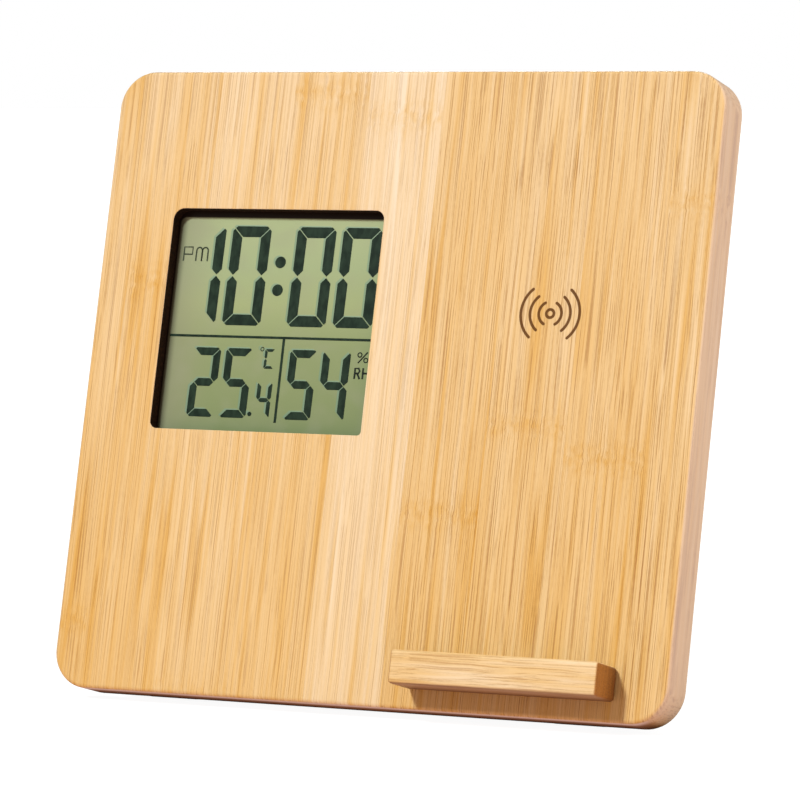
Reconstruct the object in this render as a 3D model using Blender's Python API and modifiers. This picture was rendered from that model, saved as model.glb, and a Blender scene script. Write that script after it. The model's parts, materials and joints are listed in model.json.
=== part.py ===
"""Desk weather station with a phone charger, in a leaning bamboo panel.

A bamboo board holds a display behind a cut window and a charging coil behind its
right half. A moulded cover closes its back, with a battery bay, four push buttons,
a power socket and a fold-out stand. Sizes are real ones, in metres. The board is
modelled upright in the frame of the empty board_frame, which then leans back:
X runs to the right, Y from the front face to the back, Z up the board.
"""
import math

import bmesh
import bpy
from mathutils import Matrix, Vector

MM = 0.001
GAP = 0.3 * MM                      # clearance between neighbouring pieces

# How the station stands
LEAN = math.radians(14.0)           # board, back from upright
STAND_LEAN = math.radians(14.0)     # stand leg, the other way
TABLE_CLEAR = 0.3 * MM              # board's lowest edge above the table

# Bamboo board
PANEL_WIDTH = 150.0 * MM
PANEL_HEIGHT = 142.5 * MM
PANEL_THICK = 10.5 * MM
PANEL_CORNER = 8.5 * MM
PANEL_EDGE_ROUND = 0.9 * MM
SKIN = 3.0 * MM                     # wood left in front of a pocket
WINDOW_WIDTH = 53.3 * MM
WINDOW_HEIGHT = 50.8 * MM
WINDOW_CORNER = 2.6 * MM
WINDOW_FROM_LEFT = 17.6 * MM
WINDOW_FROM_TOP = 32.0 * MM
POCKET_CLEAR = 0.3 * MM
POCKET_CORNER = 3.0 * MM

# Phone ledge, centred under the coil
LEDGE_WIDTH = 48.8 * MM
LEDGE_HEIGHT = 7.4 * MM
LEDGE_DEPTH = 11.0 * MM
LEDGE_LIFT = 4.4 * MM               # above the board's lower edge
LEDGE_ROUND = 0.8 * MM
LEDGE_SCREW_INSET = 7.0 * MM        # from each end of the ledge
LEDGE_SCREW_RISE = 2.7 * MM         # above the ledge's underside
LEDGE_SCREW_BITE = 7.5 * MM         # into the ledge

# Display stack behind the window
GLASS_MARGIN = 3.4 * MM             # hidden behind the wood on each side
GLASS_THICK = 2.2 * MM
BACKLIGHT_THICK = 2.5 * MM
CONTACT_LEDGE = 4.2 * MM            # glass beyond the backlight, above and below
ZEBRA_WIDTH = 2.4 * MM
FRAME_WALL = 3.5 * MM
BOARD_THICK = 1.6 * MM
STAKE_RADIUS = 0.9 * MM             # frame's pegs, melted over behind the board
STAKE_HEAD_RADIUS = 1.6 * MM
STAKE_HEAD_HEIGHT = 0.7 * MM

# Charging module
CHARGE_FROM_RIGHT = 36.3 * MM       # coil centre from the board's right edge
CHARGE_ABOVE_LEDGE = 76.3 * MM      # coil centre above the ledge's top
COIL_OUTER = 19.5 * MM
COIL_INNER = 9.0 * MM
COIL_THICK = 1.2 * MM
FERRITE_MARGIN = 1.0 * MM
FERRITE_THICK = 1.0 * MM
CARRIER_RADIUS = 22.5 * MM
CARRIER_FLOOR = 1.5 * MM
CARRIER_RIM = 2.2 * MM
CARRIER_CLEAR = 0.5 * MM
CARRIER_NOTCH = 6.0 * MM            # where the coil's leads pass the dish

# Moulded back cover
COVER_DEPTH = 9.0 * MM
COVER_WALL = 2.0 * MM
COVER_SIDE_MARGIN = 8.0 * MM
COVER_TOP_MARGIN = 8.0 * MM
COVER_BOTTOM_MARGIN = 3.0 * MM
COVER_CORNER = 7.0 * MM
COVER_EDGE_ROUND = 1.4 * MM
BOSS_RADIUS = 3.3 * MM
BOSS_INSET = 7.0 * MM               # boss centre from the cover's outside
SCREW_SINK = 3.6 * MM               # head seat below the cover's back
RIB_THICK = 1.2 * MM
RIB_HEIGHT = 3.8 * MM
PRESS_POST_RADIUS = 2.2 * MM
VENT_COUNT = 5
VENT_PITCH = 5.0 * MM
VENT_WIDTH = 2.2 * MM
VENT_LENGTH = 26.0 * MM
SENSOR_VENT_COUNT = 3
SENSOR_VENT_PITCH = 3.2 * MM
SENSOR_VENT_WIDTH = 1.6 * MM
SENSOR_VENT_LENGTH = 8.0 * MM
SOUND_HOLE_COUNT = 6
SOUND_HOLE_RADIUS = 0.8 * MM
SOUND_RING_RADIUS = 3.2 * MM

# Screws
SCREW_RADIUS = 1.5 * MM
SCREW_HEAD_RADIUS = 2.6 * MM
SCREW_HEAD_HEIGHT = 1.9 * MM
SCREW_BITE = 6.2 * MM               # into the wood
SMALL_SCREW_RADIUS = 0.8 * MM
SMALL_HEAD_RADIUS = 1.6 * MM
SMALL_HEAD_HEIGHT = 1.0 * MM
SMALL_SCREW_BITE = 2.8 * MM
DRIVE_RADIUS = 0.9 * MM
DRIVE_DEPTH = 0.6 * MM

# Battery bay, two cells side by side
CELL_RADIUS = 5.25 * MM
CELL_BODY = 43.5 * MM
CELL_NUB = 1.0 * MM
CELL_NUB_RADIUS = 1.9 * MM
CELL_PITCH = 11.0 * MM
BAY_FROM_RIGHT = 29.0 * MM          # bay centre from the board's right edge
BAY_ABOVE_LEDGE = 0.8 * MM          # bay floor above the ledge's top
BAY_WALL = 1.5 * MM
BAY_CORNER = 1.5 * MM
BAY_POCKET_CLEAR = 0.5 * MM
SPRING_LENGTH = 2.7 * MM
SPRING_WIRE = 0.3 * MM
SPRING_TURNS = 3
SPRING_WIDE = 3.2 * MM
SPRING_NARROW = 1.6 * MM
PLATE_THICK = 0.4 * MM
PLATE_WIDTH = 8.6 * MM
TAB_WIDTH = 2.0 * MM
TAB_REACH = 3.0 * MM
TAB_OFFSET = 2.2 * MM               # behind the cells' centre
DOOR_LIP = 1.5 * MM                 # hidden flange under the cover's back
DOOR_LIP_THICK = 1.0 * MM
DOOR_RAIL = 1.2 * MM                # wall and floor of the channel that the lip runs in
DOOR_RIB_COUNT = 4
DOOR_RIB_PITCH = 2.4 * MM
DOOR_RIB_RADIUS = 0.5 * MM
DOOR_RIB_LENGTH = 22.0 * MM

# Push buttons on the back
BUTTON_NAMES = ("mode", "set", "up", "down")
BUTTON_PITCH = 14.0 * MM
BUTTON_FROM_TOP = 38.5 * MM
BUTTON_RADIUS = 3.5 * MM
BUTTON_PROUD = 1.2 * MM
BUTTON_FLANGE = 1.2 * MM
BUTTON_FLANGE_THICK = 1.0 * MM
BUTTON_STEM_RADIUS = 1.6 * MM
BUTTON_TRAVEL = 0.6 * MM
SWITCH_WIDTH = 6.0 * MM
SWITCH_HEIGHT = 3.5 * MM
PLUNGER_RADIUS = 1.65 * MM
PLUNGER_PROUD = 1.0 * MM
PLUNGER_SEAT = 1.1 * MM             # plunger inside the switch at rest

# Parts on the display's board
CHIP_WIDTH = 10.0 * MM
CHIP_THICK = 1.2 * MM
BUZZER_RADIUS = 6.0 * MM
BUZZER_HEIGHT = 4.5 * MM
BUZZER_HOLE = 1.0 * MM
SENSOR_WIDTH = 3.0 * MM
SENSOR_HEIGHT = 1.1 * MM
CRYSTAL_RADIUS = 1.0 * MM
CRYSTAL_LENGTH = 6.0 * MM

# Power board with the socket, low on the left
POWER_WIDTH = 40.0 * MM
POWER_HEIGHT = 30.5 * MM
POWER_POST = 3.6 * MM
POWER_POST_RADIUS = 2.3 * MM
POWER_HOLE_INSET = 3.2 * MM
INDUCTOR_WIDTH = 7.0 * MM
INDUCTOR_HEIGHT = 3.0 * MM
DRIVER_WIDTH = 5.0 * MM
DRIVER_THICK = 1.0 * MM
FILTER_RADIUS = 2.0 * MM
FILTER_HEIGHT = 3.0 * MM
INLET_WIDTH = 8.94 * MM
INLET_HEIGHT = 3.26 * MM
INLET_LENGTH = 7.3 * MM
INLET_WALL = 0.35 * MM
TONGUE_WIDTH = 6.6 * MM
TONGUE_THICK = 0.7 * MM
TONGUE_LENGTH = 4.6 * MM

# Fold-out stand
HINGE_RISE = 80.0 * MM              # pin above the board's lower edge
PIN_RADIUS = 1.5 * MM
BARREL_RADIUS = 3.6 * MM
LEG_WIDTH = 40.0 * MM
LEG_THICK = 4.0 * MM
LEG_CORNER = 4.0 * MM
LEG_PANEL_DEPTH = 1.4 * MM
LEG_PANEL_BORDER = 4.0 * MM
LEG_RIB_COUNT = 3
EAR_THICK = 4.0 * MM
EAR_RADIUS = 3.6 * MM
EAR_FILLET = 2.4 * MM
PAD_THICK = 3.0 * MM                # rubber under the leg's end
PAD_PROUD = 0.7 * MM
PAD_INSET = 2.0 * MM
TENON_LENGTH = 2.5 * MM
TENON_THICK = 1.4 * MM
TENON_WIDTH = 22.0 * MM

# Rubber feet under the cover
FOOT_SPREAD = 100.0 * MM            # between the feet's centres
FOOT_WIDTH = 14.0 * MM
FOOT_DEPTH = 5.2 * MM
FOOT_PEG_RADIUS = 1.4 * MM
FOOT_PEG_HEAD = 2.2 * MM
FOOT_PEG_HEAD_HEIGHT = 0.8 * MM

# Leads
LEAD_RADIUS = 0.6 * MM
LEAD_SPACING = 2.2 * MM
LEAD_STEPS = 3
BAND_THICK = 0.8 * MM               # flat lead between the two boards
BAND_WIDTH = 7.0 * MM

ROUND = 24                          # sides of a small round piece
WIDE_ROUND = 48                     # sides of a wide round piece


# Places that follow from the sizes, in the board's own frame

half_width = PANEL_WIDTH / 2
window_x = -half_width + WINDOW_FROM_LEFT + WINDOW_WIDTH / 2
window_z = PANEL_HEIGHT - WINDOW_FROM_TOP - WINDOW_HEIGHT / 2
ledge_top = LEDGE_LIFT + LEDGE_HEIGHT
charge_x = half_width - CHARGE_FROM_RIGHT
charge_z = ledge_top + CHARGE_ABOVE_LEDGE

glass_width = WINDOW_WIDTH + 2 * GLASS_MARGIN
glass_height = WINDOW_HEIGHT + 2 * GLASS_MARGIN
frame_width = glass_width + 2 * (GAP + FRAME_WALL)
frame_height = glass_height + 2 * (GAP + FRAME_WALL)
glass_y = (SKIN + GAP, SKIN + GAP + GLASS_THICK)
backlight_y = (glass_y[1] + GAP, glass_y[1] + GAP + BACKLIGHT_THICK)
board_y = (backlight_y[1] + GAP, backlight_y[1] + GAP + BOARD_THICK)
parts_y = board_y[1] + GAP          # underside of what is soldered on the board

coil_y = (SKIN + GAP, SKIN + GAP + COIL_THICK)
ferrite_y = (coil_y[1] + GAP, coil_y[1] + GAP + FERRITE_THICK)
carrier_y = (ferrite_y[1] + GAP, PANEL_THICK - GAP)

cover_front = PANEL_THICK + GAP
cover_back = cover_front + COVER_DEPTH
cover_inside = cover_back - COVER_WALL
cover_width = PANEL_WIDTH - 2 * COVER_SIDE_MARGIN
cover_low = COVER_BOTTOM_MARGIN
cover_high = PANEL_HEIGHT - COVER_TOP_MARGIN
cover_left = -cover_width / 2
cover_right = cover_width / 2

lip_back = cover_inside - GAP
lip_front = lip_back - DOOR_LIP_THICK
cell_y = lip_front - GAP - CELL_RADIUS
bay_x = half_width - BAY_FROM_RIGHT
bay_width = CELL_PITCH + 2 * (CELL_RADIUS + GAP)
cell_length = CELL_BODY + CELL_NUB
bay_length = 2 * (GAP + PLATE_THICK) + SPRING_LENGTH + cell_length + 3 * GAP
bay_low = ledge_top + BAY_ABOVE_LEDGE
bay_high = bay_low + bay_length
bay_floor = cell_y - CELL_RADIUS - GAP
rail_front = lip_front - GAP - DOOR_RAIL
door_low = bay_low - BAY_WALL
door_high = bay_high + BAY_WALL
door_left = bay_x - bay_width / 2 - BAY_WALL

power_left = cover_left + COVER_WALL + 2 * GAP
power_low = cover_low + BOSS_INSET + BOSS_RADIUS + 3 * GAP
power_back = cover_inside - POWER_POST - GAP
power_y = (power_back - BOARD_THICK, power_back)
power_parts_y = power_back + GAP

pin_y = cover_back + BARREL_RADIUS + GAP
opening = LEAN + STAND_LEAN
panel_drop = TABLE_CLEAR + PANEL_THICK * math.sin(LEAN)   # board frame above the table
pin_height = panel_drop + HINGE_RISE * math.cos(LEAN) - pin_y * math.sin(LEAN)
leg_reach = pin_height / math.cos(STAND_LEAN)
heel = (BARREL_RADIUS - LEG_THICK / 2 * math.cos(opening)) / math.sin(opening)
leg_end = leg_reach - PAD_THICK


def table_rise(y):
    """Height of the table plane at depth y, in the board's own frame."""
    return (y * math.sin(LEAN) - panel_drop) / math.cos(LEAN)


def middle_of_depth():
    """Depth of the middle between the ledge's front and the stand's heel on the table."""
    round_y = LEDGE_ROUND - LEDGE_DEPTH
    round_z = LEDGE_LIFT + LEDGE_ROUND
    front = round_y * math.cos(LEAN) + round_z * math.sin(LEAN) - LEDGE_ROUND
    pin_depth = pin_y * math.cos(LEAN) + HINGE_RISE * math.sin(LEAN)
    pad_half = LEG_THICK / 2 + PAD_PROUD
    along = (pin_height + pad_half * math.sin(STAND_LEAN)) / math.cos(STAND_LEAN)
    back = pin_depth + pad_half * math.cos(STAND_LEAN) + along * math.sin(STAND_LEAN)
    return (front + back) / 2


for old in list(bpy.data.objects):
    bpy.data.objects.remove(old, do_unlink=True)

parts = bpy.data.collections.new("weather_station")
cutters = bpy.data.collections.new("cutters")
for collection in (parts, cutters):
    bpy.context.scene.collection.children.link(collection)


def make_material(name, colour, roughness, metallic=0.0):
    """Plain Principled material in the piece's own colour."""
    material = bpy.data.materials.new(name)
    material.use_nodes = True
    shader = material.node_tree.nodes["Principled BSDF"]
    shader.inputs["Base Color"].default_value = (*colour, 1.0)
    shader.inputs["Roughness"].default_value = roughness
    shader.inputs["Metallic"].default_value = metallic
    return material


BAMBOO = make_material("bamboo", (0.86, 0.58, 0.30), 0.55)
BAMBOO_BAR = make_material("bamboo_bar", (0.88, 0.62, 0.34), 0.55)
DISPLAY = make_material("display_glass", (0.42, 0.48, 0.30), 0.18)
DIFFUSER = make_material("diffuser_acrylic", (0.80, 0.84, 0.82), 0.35)
BLACK_ABS = make_material("black_abs", (0.022, 0.022, 0.024), 0.50)
GREY_ABS = make_material("grey_abs", (0.30, 0.31, 0.33), 0.50)
PALE_ABS = make_material("pale_abs", (0.75, 0.76, 0.74), 0.45)
SILICONE = make_material("silicone", (0.35, 0.20, 0.22), 0.65)
RUBBER = make_material("rubber", (0.035, 0.035, 0.037), 0.85)
CIRCUIT = make_material("circuit_board", (0.03, 0.22, 0.09), 0.40)
EPOXY = make_material("chip_epoxy", (0.03, 0.03, 0.03), 0.45)
COPPER = make_material("copper", (0.72, 0.38, 0.20), 0.35, 1.0)
FERRITE = make_material("ferrite", (0.10, 0.10, 0.11), 0.70)
STEEL = make_material("steel", (0.62, 0.63, 0.65), 0.28, 1.0)
NICKEL = make_material("nickel", (0.70, 0.69, 0.65), 0.25, 1.0)
CELL_WRAP = make_material("cell_wrap", (0.16, 0.30, 0.44), 0.35)
TINNED_CAN = make_material("tinned_can", (0.55, 0.56, 0.58), 0.30, 1.0)
LEAD_RED = make_material("lead_red", (0.55, 0.04, 0.03), 0.55)
LEAD_BLACK = make_material("lead_black", (0.03, 0.03, 0.03), 0.55)
LEAD_WHITE = make_material("lead_white", (0.78, 0.78, 0.75), 0.55)


def make_empty(name, location, rotation, parent=None):
    """Frame that carries pieces, or the axis that a moving piece turns on."""
    empty = bpy.data.objects.new(name, None)
    parts.objects.link(empty)
    empty.parent = parent
    empty.location = location
    empty.rotation_euler = rotation
    return empty


board_frame = make_empty("board_frame", (0, -middle_of_depth(), panel_drop), (-LEAN, 0, 0))
stand_axis = make_empty("stand_axis", (0, pin_y, HINGE_RISE), (opening, 0, 0), board_frame)


def place(name, mesh, location, material=None, parent=board_frame, rotation=(0, 0, 0)):
    """Object with a mesh; without a material it is a cutter or an addition."""
    obj = bpy.data.objects.new(name, mesh)
    obj.parent = parent
    obj.location = location
    obj.rotation_euler = rotation
    if material:
        parts.objects.link(obj)
        if not mesh.materials:
            mesh.materials.append(material)
        mesh.shade_smooth()
        mesh.set_sharp_from_angle(angle=math.radians(32))
    else:
        cutters.objects.link(obj)
        obj.hide_render = True
        obj.display_type = "WIRE"
    return obj


def centred(middle, size):
    """Low and high end of a size about its middle."""
    return (middle - size / 2, middle + size / 2)


def parallel_edges(bm, axis):
    """Edges that run along one axis."""
    found = []
    for edge in bm.edges:
        way = edge.verts[1].co - edge.verts[0].co
        if abs(way[axis]) > 0.999 * way.length:
            found.append(edge)
    return found


def edges_at(bm, axis, value):
    """Edges that lie in the plane where one coordinate has a value."""
    near = 1e-6
    return [edge for edge in bm.edges
            if all(abs(vert.co[axis] - value) < near for vert in edge.verts)]


def bevel(bm, edges, radius, segments):
    bmesh.ops.bevel(bm, geom=edges, offset=radius, offset_type="OFFSET", segments=segments,
                    profile=0.5, affect="EDGES", clamp_overlap=True)


def block_bmesh(size, corner=0.0, corner_axis=1, segments=5):
    """Box about its own centre, with the four edges along one axis rounded."""
    bm = bmesh.new()
    bmesh.ops.create_cube(bm, size=1.0)
    bmesh.ops.scale(bm, vec=size, verts=bm.verts)
    if corner:
        bevel(bm, parallel_edges(bm, corner_axis), corner, segments)
    return bm


def to_mesh(bm, name):
    mesh = bpy.data.meshes.new(name)
    bm.to_mesh(mesh)
    bm.free()
    return mesh


def block(name, x, y, z, material=None, corner=0.0, corner_axis=1, segments=5, rims=(),
          rim_round=0.0, parent=board_frame):
    """Box between three spans. rims gives the (axis, side) faces whose edges are rounded."""
    spans = (x, y, z)
    size = Vector([span[1] - span[0] for span in spans])
    bm = block_bmesh(size, corner, corner_axis, segments)
    for axis, side in rims:
        bevel(bm, edges_at(bm, axis, side * size[axis] / 2), rim_round, 3)
    middle = [(span[0] + span[1]) / 2 for span in spans]
    return place(name, to_mesh(bm, name), middle, material, parent)


def disc(name, radius, x, y, z, material=None, sides=ROUND, rim_round=0.0, parent=board_frame):
    """Cylinder along Y between the span y, centred on x and z."""
    bm = bmesh.new()
    bmesh.ops.create_cone(bm, cap_ends=True, segments=sides, radius1=radius, radius2=radius,
                          depth=y[1] - y[0], matrix=Matrix.Rotation(math.radians(-90), 4, "X"))
    if rim_round:
        bevel(bm, edges_at(bm, 1, (y[1] - y[0]) / 2), rim_round, 2)
    return place(name, to_mesh(bm, name), (x, (y[0] + y[1]) / 2, z), material, parent)


def bar(name, radius, x, y, z, material=None, sides=ROUND, parent=board_frame):
    """Cylinder along X between the span x, centred on y and z."""
    bm = bmesh.new()
    bmesh.ops.create_cone(bm, cap_ends=True, segments=sides, radius1=radius, radius2=radius,
                          depth=x[1] - x[0], matrix=Matrix.Rotation(math.radians(90), 4, "Y"))
    return place(name, to_mesh(bm, name), ((x[0] + x[1]) / 2, y, z), material, parent)


def post(name, radius, x, y, z, material=None, sides=ROUND, parent=board_frame):
    """Cylinder along Z between the span z, centred on x and y."""
    bm = bmesh.new()
    bmesh.ops.create_cone(bm, cap_ends=True, segments=sides, radius1=radius, radius2=radius,
                          depth=z[1] - z[0])
    return place(name, to_mesh(bm, name), (x, y, (z[0] + z[1]) / 2), material, parent)


def combine(target, others, operation):
    """One Boolean that takes all the other solids at once."""
    group = bpy.data.collections.new(f"{target.name}_{operation.lower()}")
    cutters.children.link(group)
    for other in others:
        cutters.objects.unlink(other)
        group.objects.link(other)
    modifier = target.modifiers.new(operation.lower(), "BOOLEAN")
    modifier.operand_type = "COLLECTION"
    modifier.collection = group
    modifier.operation = operation
    modifier.solver = "EXACT"


def cut(target, *others):
    combine(target, others, "DIFFERENCE")


def join(target, *others):
    combine(target, others, "UNION")


def outline_bmesh(outline, x):
    """Solid with a closed outline of (y, z) points, extruded across the span x."""
    curve = bpy.data.curves.new("outline", "CURVE")
    curve.dimensions = "2D"
    curve.fill_mode = "BOTH"
    curve.extrude = (x[1] - x[0]) / 2
    spline = curve.splines.new("POLY")
    spline.points.add(len(outline) - 1)
    for point, spot in zip(spline.points, outline):
        point.co = (*spot, 0.0, 1.0)
    spline.use_cyclic_u = True
    obj = bpy.data.objects.new("outline", curve)
    cutters.objects.link(obj)
    bpy.context.view_layer.update()
    mesh = bpy.data.meshes.new_from_object(obj.evaluated_get(bpy.context.evaluated_depsgraph_get()))
    bpy.data.objects.remove(obj, do_unlink=True)
    bm = bmesh.new()
    bm.from_mesh(mesh)
    bmesh.ops.remove_doubles(bm, verts=bm.verts, dist=1e-6)
    bmesh.ops.dissolve_limit(bm, angle_limit=math.radians(0.5), verts=bm.verts, edges=bm.edges)
    upright = Matrix(((0, 0, 1, (x[0] + x[1]) / 2), (1, 0, 0, 0), (0, 1, 0, 0), (0, 0, 0, 1)))
    bmesh.ops.transform(bm, matrix=upright, verts=bm.verts)
    bmesh.ops.recalc_face_normals(bm, faces=bm.faces)
    return bm


def turned_mesh(name, profile, sides=ROUND):
    """Mesh of a profile of (radius, height) points turned about Z, from its top down."""
    mesh = bpy.data.meshes.new(name)
    points = [(radius, 0, height) for radius, height in profile]
    mesh.from_pydata(points, [(i, i + 1) for i in range(len(points) - 1)], [])
    obj = place(name + "_profile", mesh, (0, 0, 0))
    screw = obj.modifiers.new("turn", "SCREW")
    screw.axis = "Z"
    screw.steps = screw.render_steps = sides
    screw.use_merge_vertices = True
    screw.merge_threshold = 0.00001
    bpy.context.view_layer.update()
    solid = bpy.data.meshes.new_from_object(obj.evaluated_get(bpy.context.evaluated_depsgraph_get()))
    bpy.data.objects.remove(obj, do_unlink=True)
    return solid


FACING_BACK = (math.radians(-90), 0, 0)      # turns Z to the back
FACING_FRONT = (math.radians(90), 0, 0)      # turns Z to the front
UPRIGHT = (0, 0, 0)
UPSIDE_DOWN = (0, math.radians(180), 0)


def screw_mesh(name, radius, head_radius, head_height, length):
    """Pan head with a drive hole over a plain shank and a point; the head's seat is at 0."""
    dome = head_height * 0.3
    tip = radius * 1.6
    profile = [(0, head_height - DRIVE_DEPTH), (DRIVE_RADIUS * 0.8, head_height - DRIVE_DEPTH),
               (DRIVE_RADIUS, head_height), (head_radius - dome, head_height),
               (head_radius, head_height - dome), (head_radius, 0), (radius, 0),
               (radius, tip - length), (0, -length)]
    return turned_mesh(name, profile, 12)


# Bamboo board: window, pockets behind it, and blind holes for the screws

def boss_points():
    """Centres of the cover's screws, in X and Z: four corners, one pair beside the door."""
    left = cover_left + BOSS_INSET
    right = cover_right - BOSS_INSET
    low = cover_low + BOSS_INSET
    high = cover_high - BOSS_INSET
    door_side = door_left - DOOR_LIP - DOOR_RAIL - BOSS_RADIUS + GAP
    over_door = door_high + DOOR_LIP + DOOR_RAIL + BOSS_RADIUS - GAP
    return ((left, low), (door_side, low), (right, over_door), (left, high), (right, high))


def ledge_screw_points():
    low = LEDGE_LIFT + LEDGE_SCREW_RISE
    reach = LEDGE_WIDTH / 2 - LEDGE_SCREW_INSET
    return ((charge_x - reach, low), (charge_x + reach, low))


def build_panel():
    panel = block("front_panel", centred(0, PANEL_WIDTH), (0, PANEL_THICK), (0, PANEL_HEIGHT), BAMBOO,
                  corner=PANEL_CORNER, segments=10, rims=((1, -1), (1, 1)),
                  rim_round=PANEL_EDGE_ROUND)
    through = (-1 * MM, PANEL_THICK)
    behind = (SKIN, PANEL_THICK + 1 * MM)
    cuts = [block("window_cut", centred(window_x, WINDOW_WIDTH), through,
                  centred(window_z, WINDOW_HEIGHT), corner=WINDOW_CORNER),
            block("display_pocket_cut", centred(window_x, frame_width + 2 * POCKET_CLEAR), behind,
                  centred(window_z, frame_height + 2 * POCKET_CLEAR), corner=POCKET_CORNER),
            disc("coil_pocket_cut", CARRIER_RADIUS + CARRIER_CLEAR, charge_x, behind, charge_z,
                 sides=WIDE_ROUND),
            block("bay_pocket_cut", centred(bay_x, bay_width + 2 * (BAY_WALL + BAY_POCKET_CLEAR)), behind,
                  (bay_low - BAY_WALL - BAY_POCKET_CLEAR, bay_high + BAY_WALL + BAY_POCKET_CLEAR),
                  corner=BAY_CORNER + BAY_POCKET_CLEAR, segments=4)]
    bite = (PANEL_THICK - SCREW_BITE - GAP, PANEL_THICK + 1 * MM)
    for number, (x, z) in enumerate(boss_points()):
        cuts.append(disc(f"panel_hole_cut_{number}", SCREW_RADIUS + GAP, x, bite, z, sides=16))
    sink = (PANEL_THICK - SCREW_HEAD_HEIGHT - 2 * GAP, PANEL_THICK + 1 * MM)
    for number, (x, z) in enumerate(ledge_screw_points()):
        cuts.append(disc(f"ledge_hole_cut_{number}", SCREW_RADIUS + GAP, x, through, z, sides=16))
        cuts.append(disc(f"ledge_sink_cut_{number}", SCREW_HEAD_RADIUS + GAP, x, sink, z, sides=16))
    cut(panel, *cuts)


def build_ledge():
    ledge = block("phone_ledge", centred(charge_x, LEDGE_WIDTH), (-LEDGE_DEPTH, -GAP),
                  (LEDGE_LIFT, ledge_top), BAMBOO_BAR, corner=LEDGE_ROUND, corner_axis=0, segments=3,
                  rims=((0, -1), (0, 1)), rim_round=LEDGE_ROUND * 0.6)
    bite = (-LEDGE_SCREW_BITE - GAP, 1 * MM)
    cut(ledge, *[disc(f"ledge_bite_cut_{number}", SCREW_RADIUS + GAP, x, bite, z, sides=16)
                 for number, (x, z) in enumerate(ledge_screw_points())])
    seat = PANEL_THICK - SCREW_HEAD_HEIGHT - GAP
    screw = screw_mesh("ledge_screw", SCREW_RADIUS, SCREW_HEAD_RADIUS, SCREW_HEAD_HEIGHT,
                       seat + LEDGE_SCREW_BITE)
    for number, (x, z) in enumerate(ledge_screw_points()):
        place(f"ledge_screw_{number + 1}", screw, (x, seat, z), STEEL, rotation=FACING_BACK)


# Display: glass, diffuser, contact strips, frame and circuit board, one behind the other

def frame_corners():
    """Centres of the pegs that hold the board to the display frame."""
    reach_x = frame_width / 2 - FRAME_WALL / 2
    reach_z = frame_height / 2 - FRAME_WALL / 2
    return [(window_x + side * reach_x, window_z + up * reach_z) for side in (-1, 1) for up in (-1, 1)]


def build_display():
    glass_x = centred(window_x, glass_width)
    glass_z = centred(window_z, glass_height)
    block("lcd_glass", glass_x, glass_y, glass_z, DISPLAY)
    light_z = centred(window_z, glass_height - 2 * CONTACT_LEDGE)
    block("backlight_diffuser", glass_x, backlight_y, light_z, DIFFUSER)
    for side in (-1, 1):
        z = window_z + side * (glass_height - CONTACT_LEDGE) / 2
        block("contact_strip_upper" if side > 0 else "contact_strip_lower",
              centred(window_x, glass_width - 4 * MM), backlight_y, centred(z, ZEBRA_WIDTH), SILICONE)
    frame = block("display_frame", centred(window_x, frame_width), (glass_y[0], backlight_y[1]),
                  centred(window_z, frame_height), BLACK_ABS, corner=POCKET_CORNER - POCKET_CLEAR,
                  segments=4)
    cut(frame, block("frame_cut", centred(window_x, glass_width + 2 * GAP), (0, PANEL_THICK),
                     centred(window_z, glass_height + 2 * GAP)))
    board = block("main_board", centred(window_x, frame_width), board_y,
                  centred(window_z, frame_height), CIRCUIT, corner=POCKET_CORNER - POCKET_CLEAR,
                  segments=4)
    through = (board_y[0] - 1 * MM, board_y[1] + 1 * MM)
    cut(board, *[disc(f"stake_hole_cut_{number}", STAKE_RADIUS + GAP, x, through, z, sides=12)
                 for number, (x, z) in enumerate(frame_corners())])
    stakes = []
    for number, (x, z) in enumerate(frame_corners()):
        stakes.append(disc(f"stake_{number}", STAKE_RADIUS, x,
                           (backlight_y[1] - 1 * MM, parts_y + 0.2 * MM), z, sides=12))
        stakes.append(disc(f"stake_head_{number}", STAKE_HEAD_RADIUS, x,
                           (parts_y, parts_y + STAKE_HEAD_HEIGHT), z, sides=12))
    join(frame, *stakes)


# Places on the main board, each from the window's centre, in X and Z
CHIP_AT = (14.0 * MM, -8.0 * MM)
BUZZER_AT = (-15.0 * MM, -14.0 * MM)
CRYSTAL_AT = (2.0 * MM, -2.0 * MM)
SENSOR_AT = (-26.0 * MM, -26.0 * MM)


def on_board(offset):
    return window_x + offset[0], window_z + offset[1]


def build_board_parts():
    x, z = on_board(CHIP_AT)
    block("clock_chip", centred(x, CHIP_WIDTH), (parts_y, parts_y + CHIP_THICK),
          centred(z, CHIP_WIDTH), EPOXY, rims=((1, 1),), rim_round=0.3 * MM)
    x, z = on_board(BUZZER_AT)
    buzzer = disc("buzzer", BUZZER_RADIUS, x, (parts_y, parts_y + BUZZER_HEIGHT), z, EPOXY,
                  sides=32, rim_round=0.4 * MM)
    cut(buzzer, disc("buzzer_hole_cut", BUZZER_HOLE, x,
                     (parts_y + BUZZER_HEIGHT - 1.5 * MM, cover_inside), z, sides=12))
    x, z = on_board(CRYSTAL_AT)
    bar("clock_crystal", CRYSTAL_RADIUS, centred(x, CRYSTAL_LENGTH), parts_y + CRYSTAL_RADIUS, z,
        TINNED_CAN, sides=16)
    x, z = on_board(SENSOR_AT)
    sensor = block("climate_sensor", centred(x, SENSOR_WIDTH), (parts_y, parts_y + SENSOR_HEIGHT),
                   centred(z, SENSOR_WIDTH), PALE_ABS)
    cut(sensor, disc("sensor_hole_cut", SENSOR_WIDTH / 5, x,
                     (parts_y + SENSOR_HEIGHT / 2, cover_inside), z, sides=12))


# Push buttons: cap, hidden flange and stem in one, over a switch with its own plunger

def button_places():
    """Name and centre of each button, in X and Z."""
    middle = (len(BUTTON_NAMES) - 1) / 2
    z = PANEL_HEIGHT - BUTTON_FROM_TOP
    return [(name, window_x + (number - middle) * BUTTON_PITCH, z)
            for number, name in enumerate(BUTTON_NAMES)]


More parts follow.
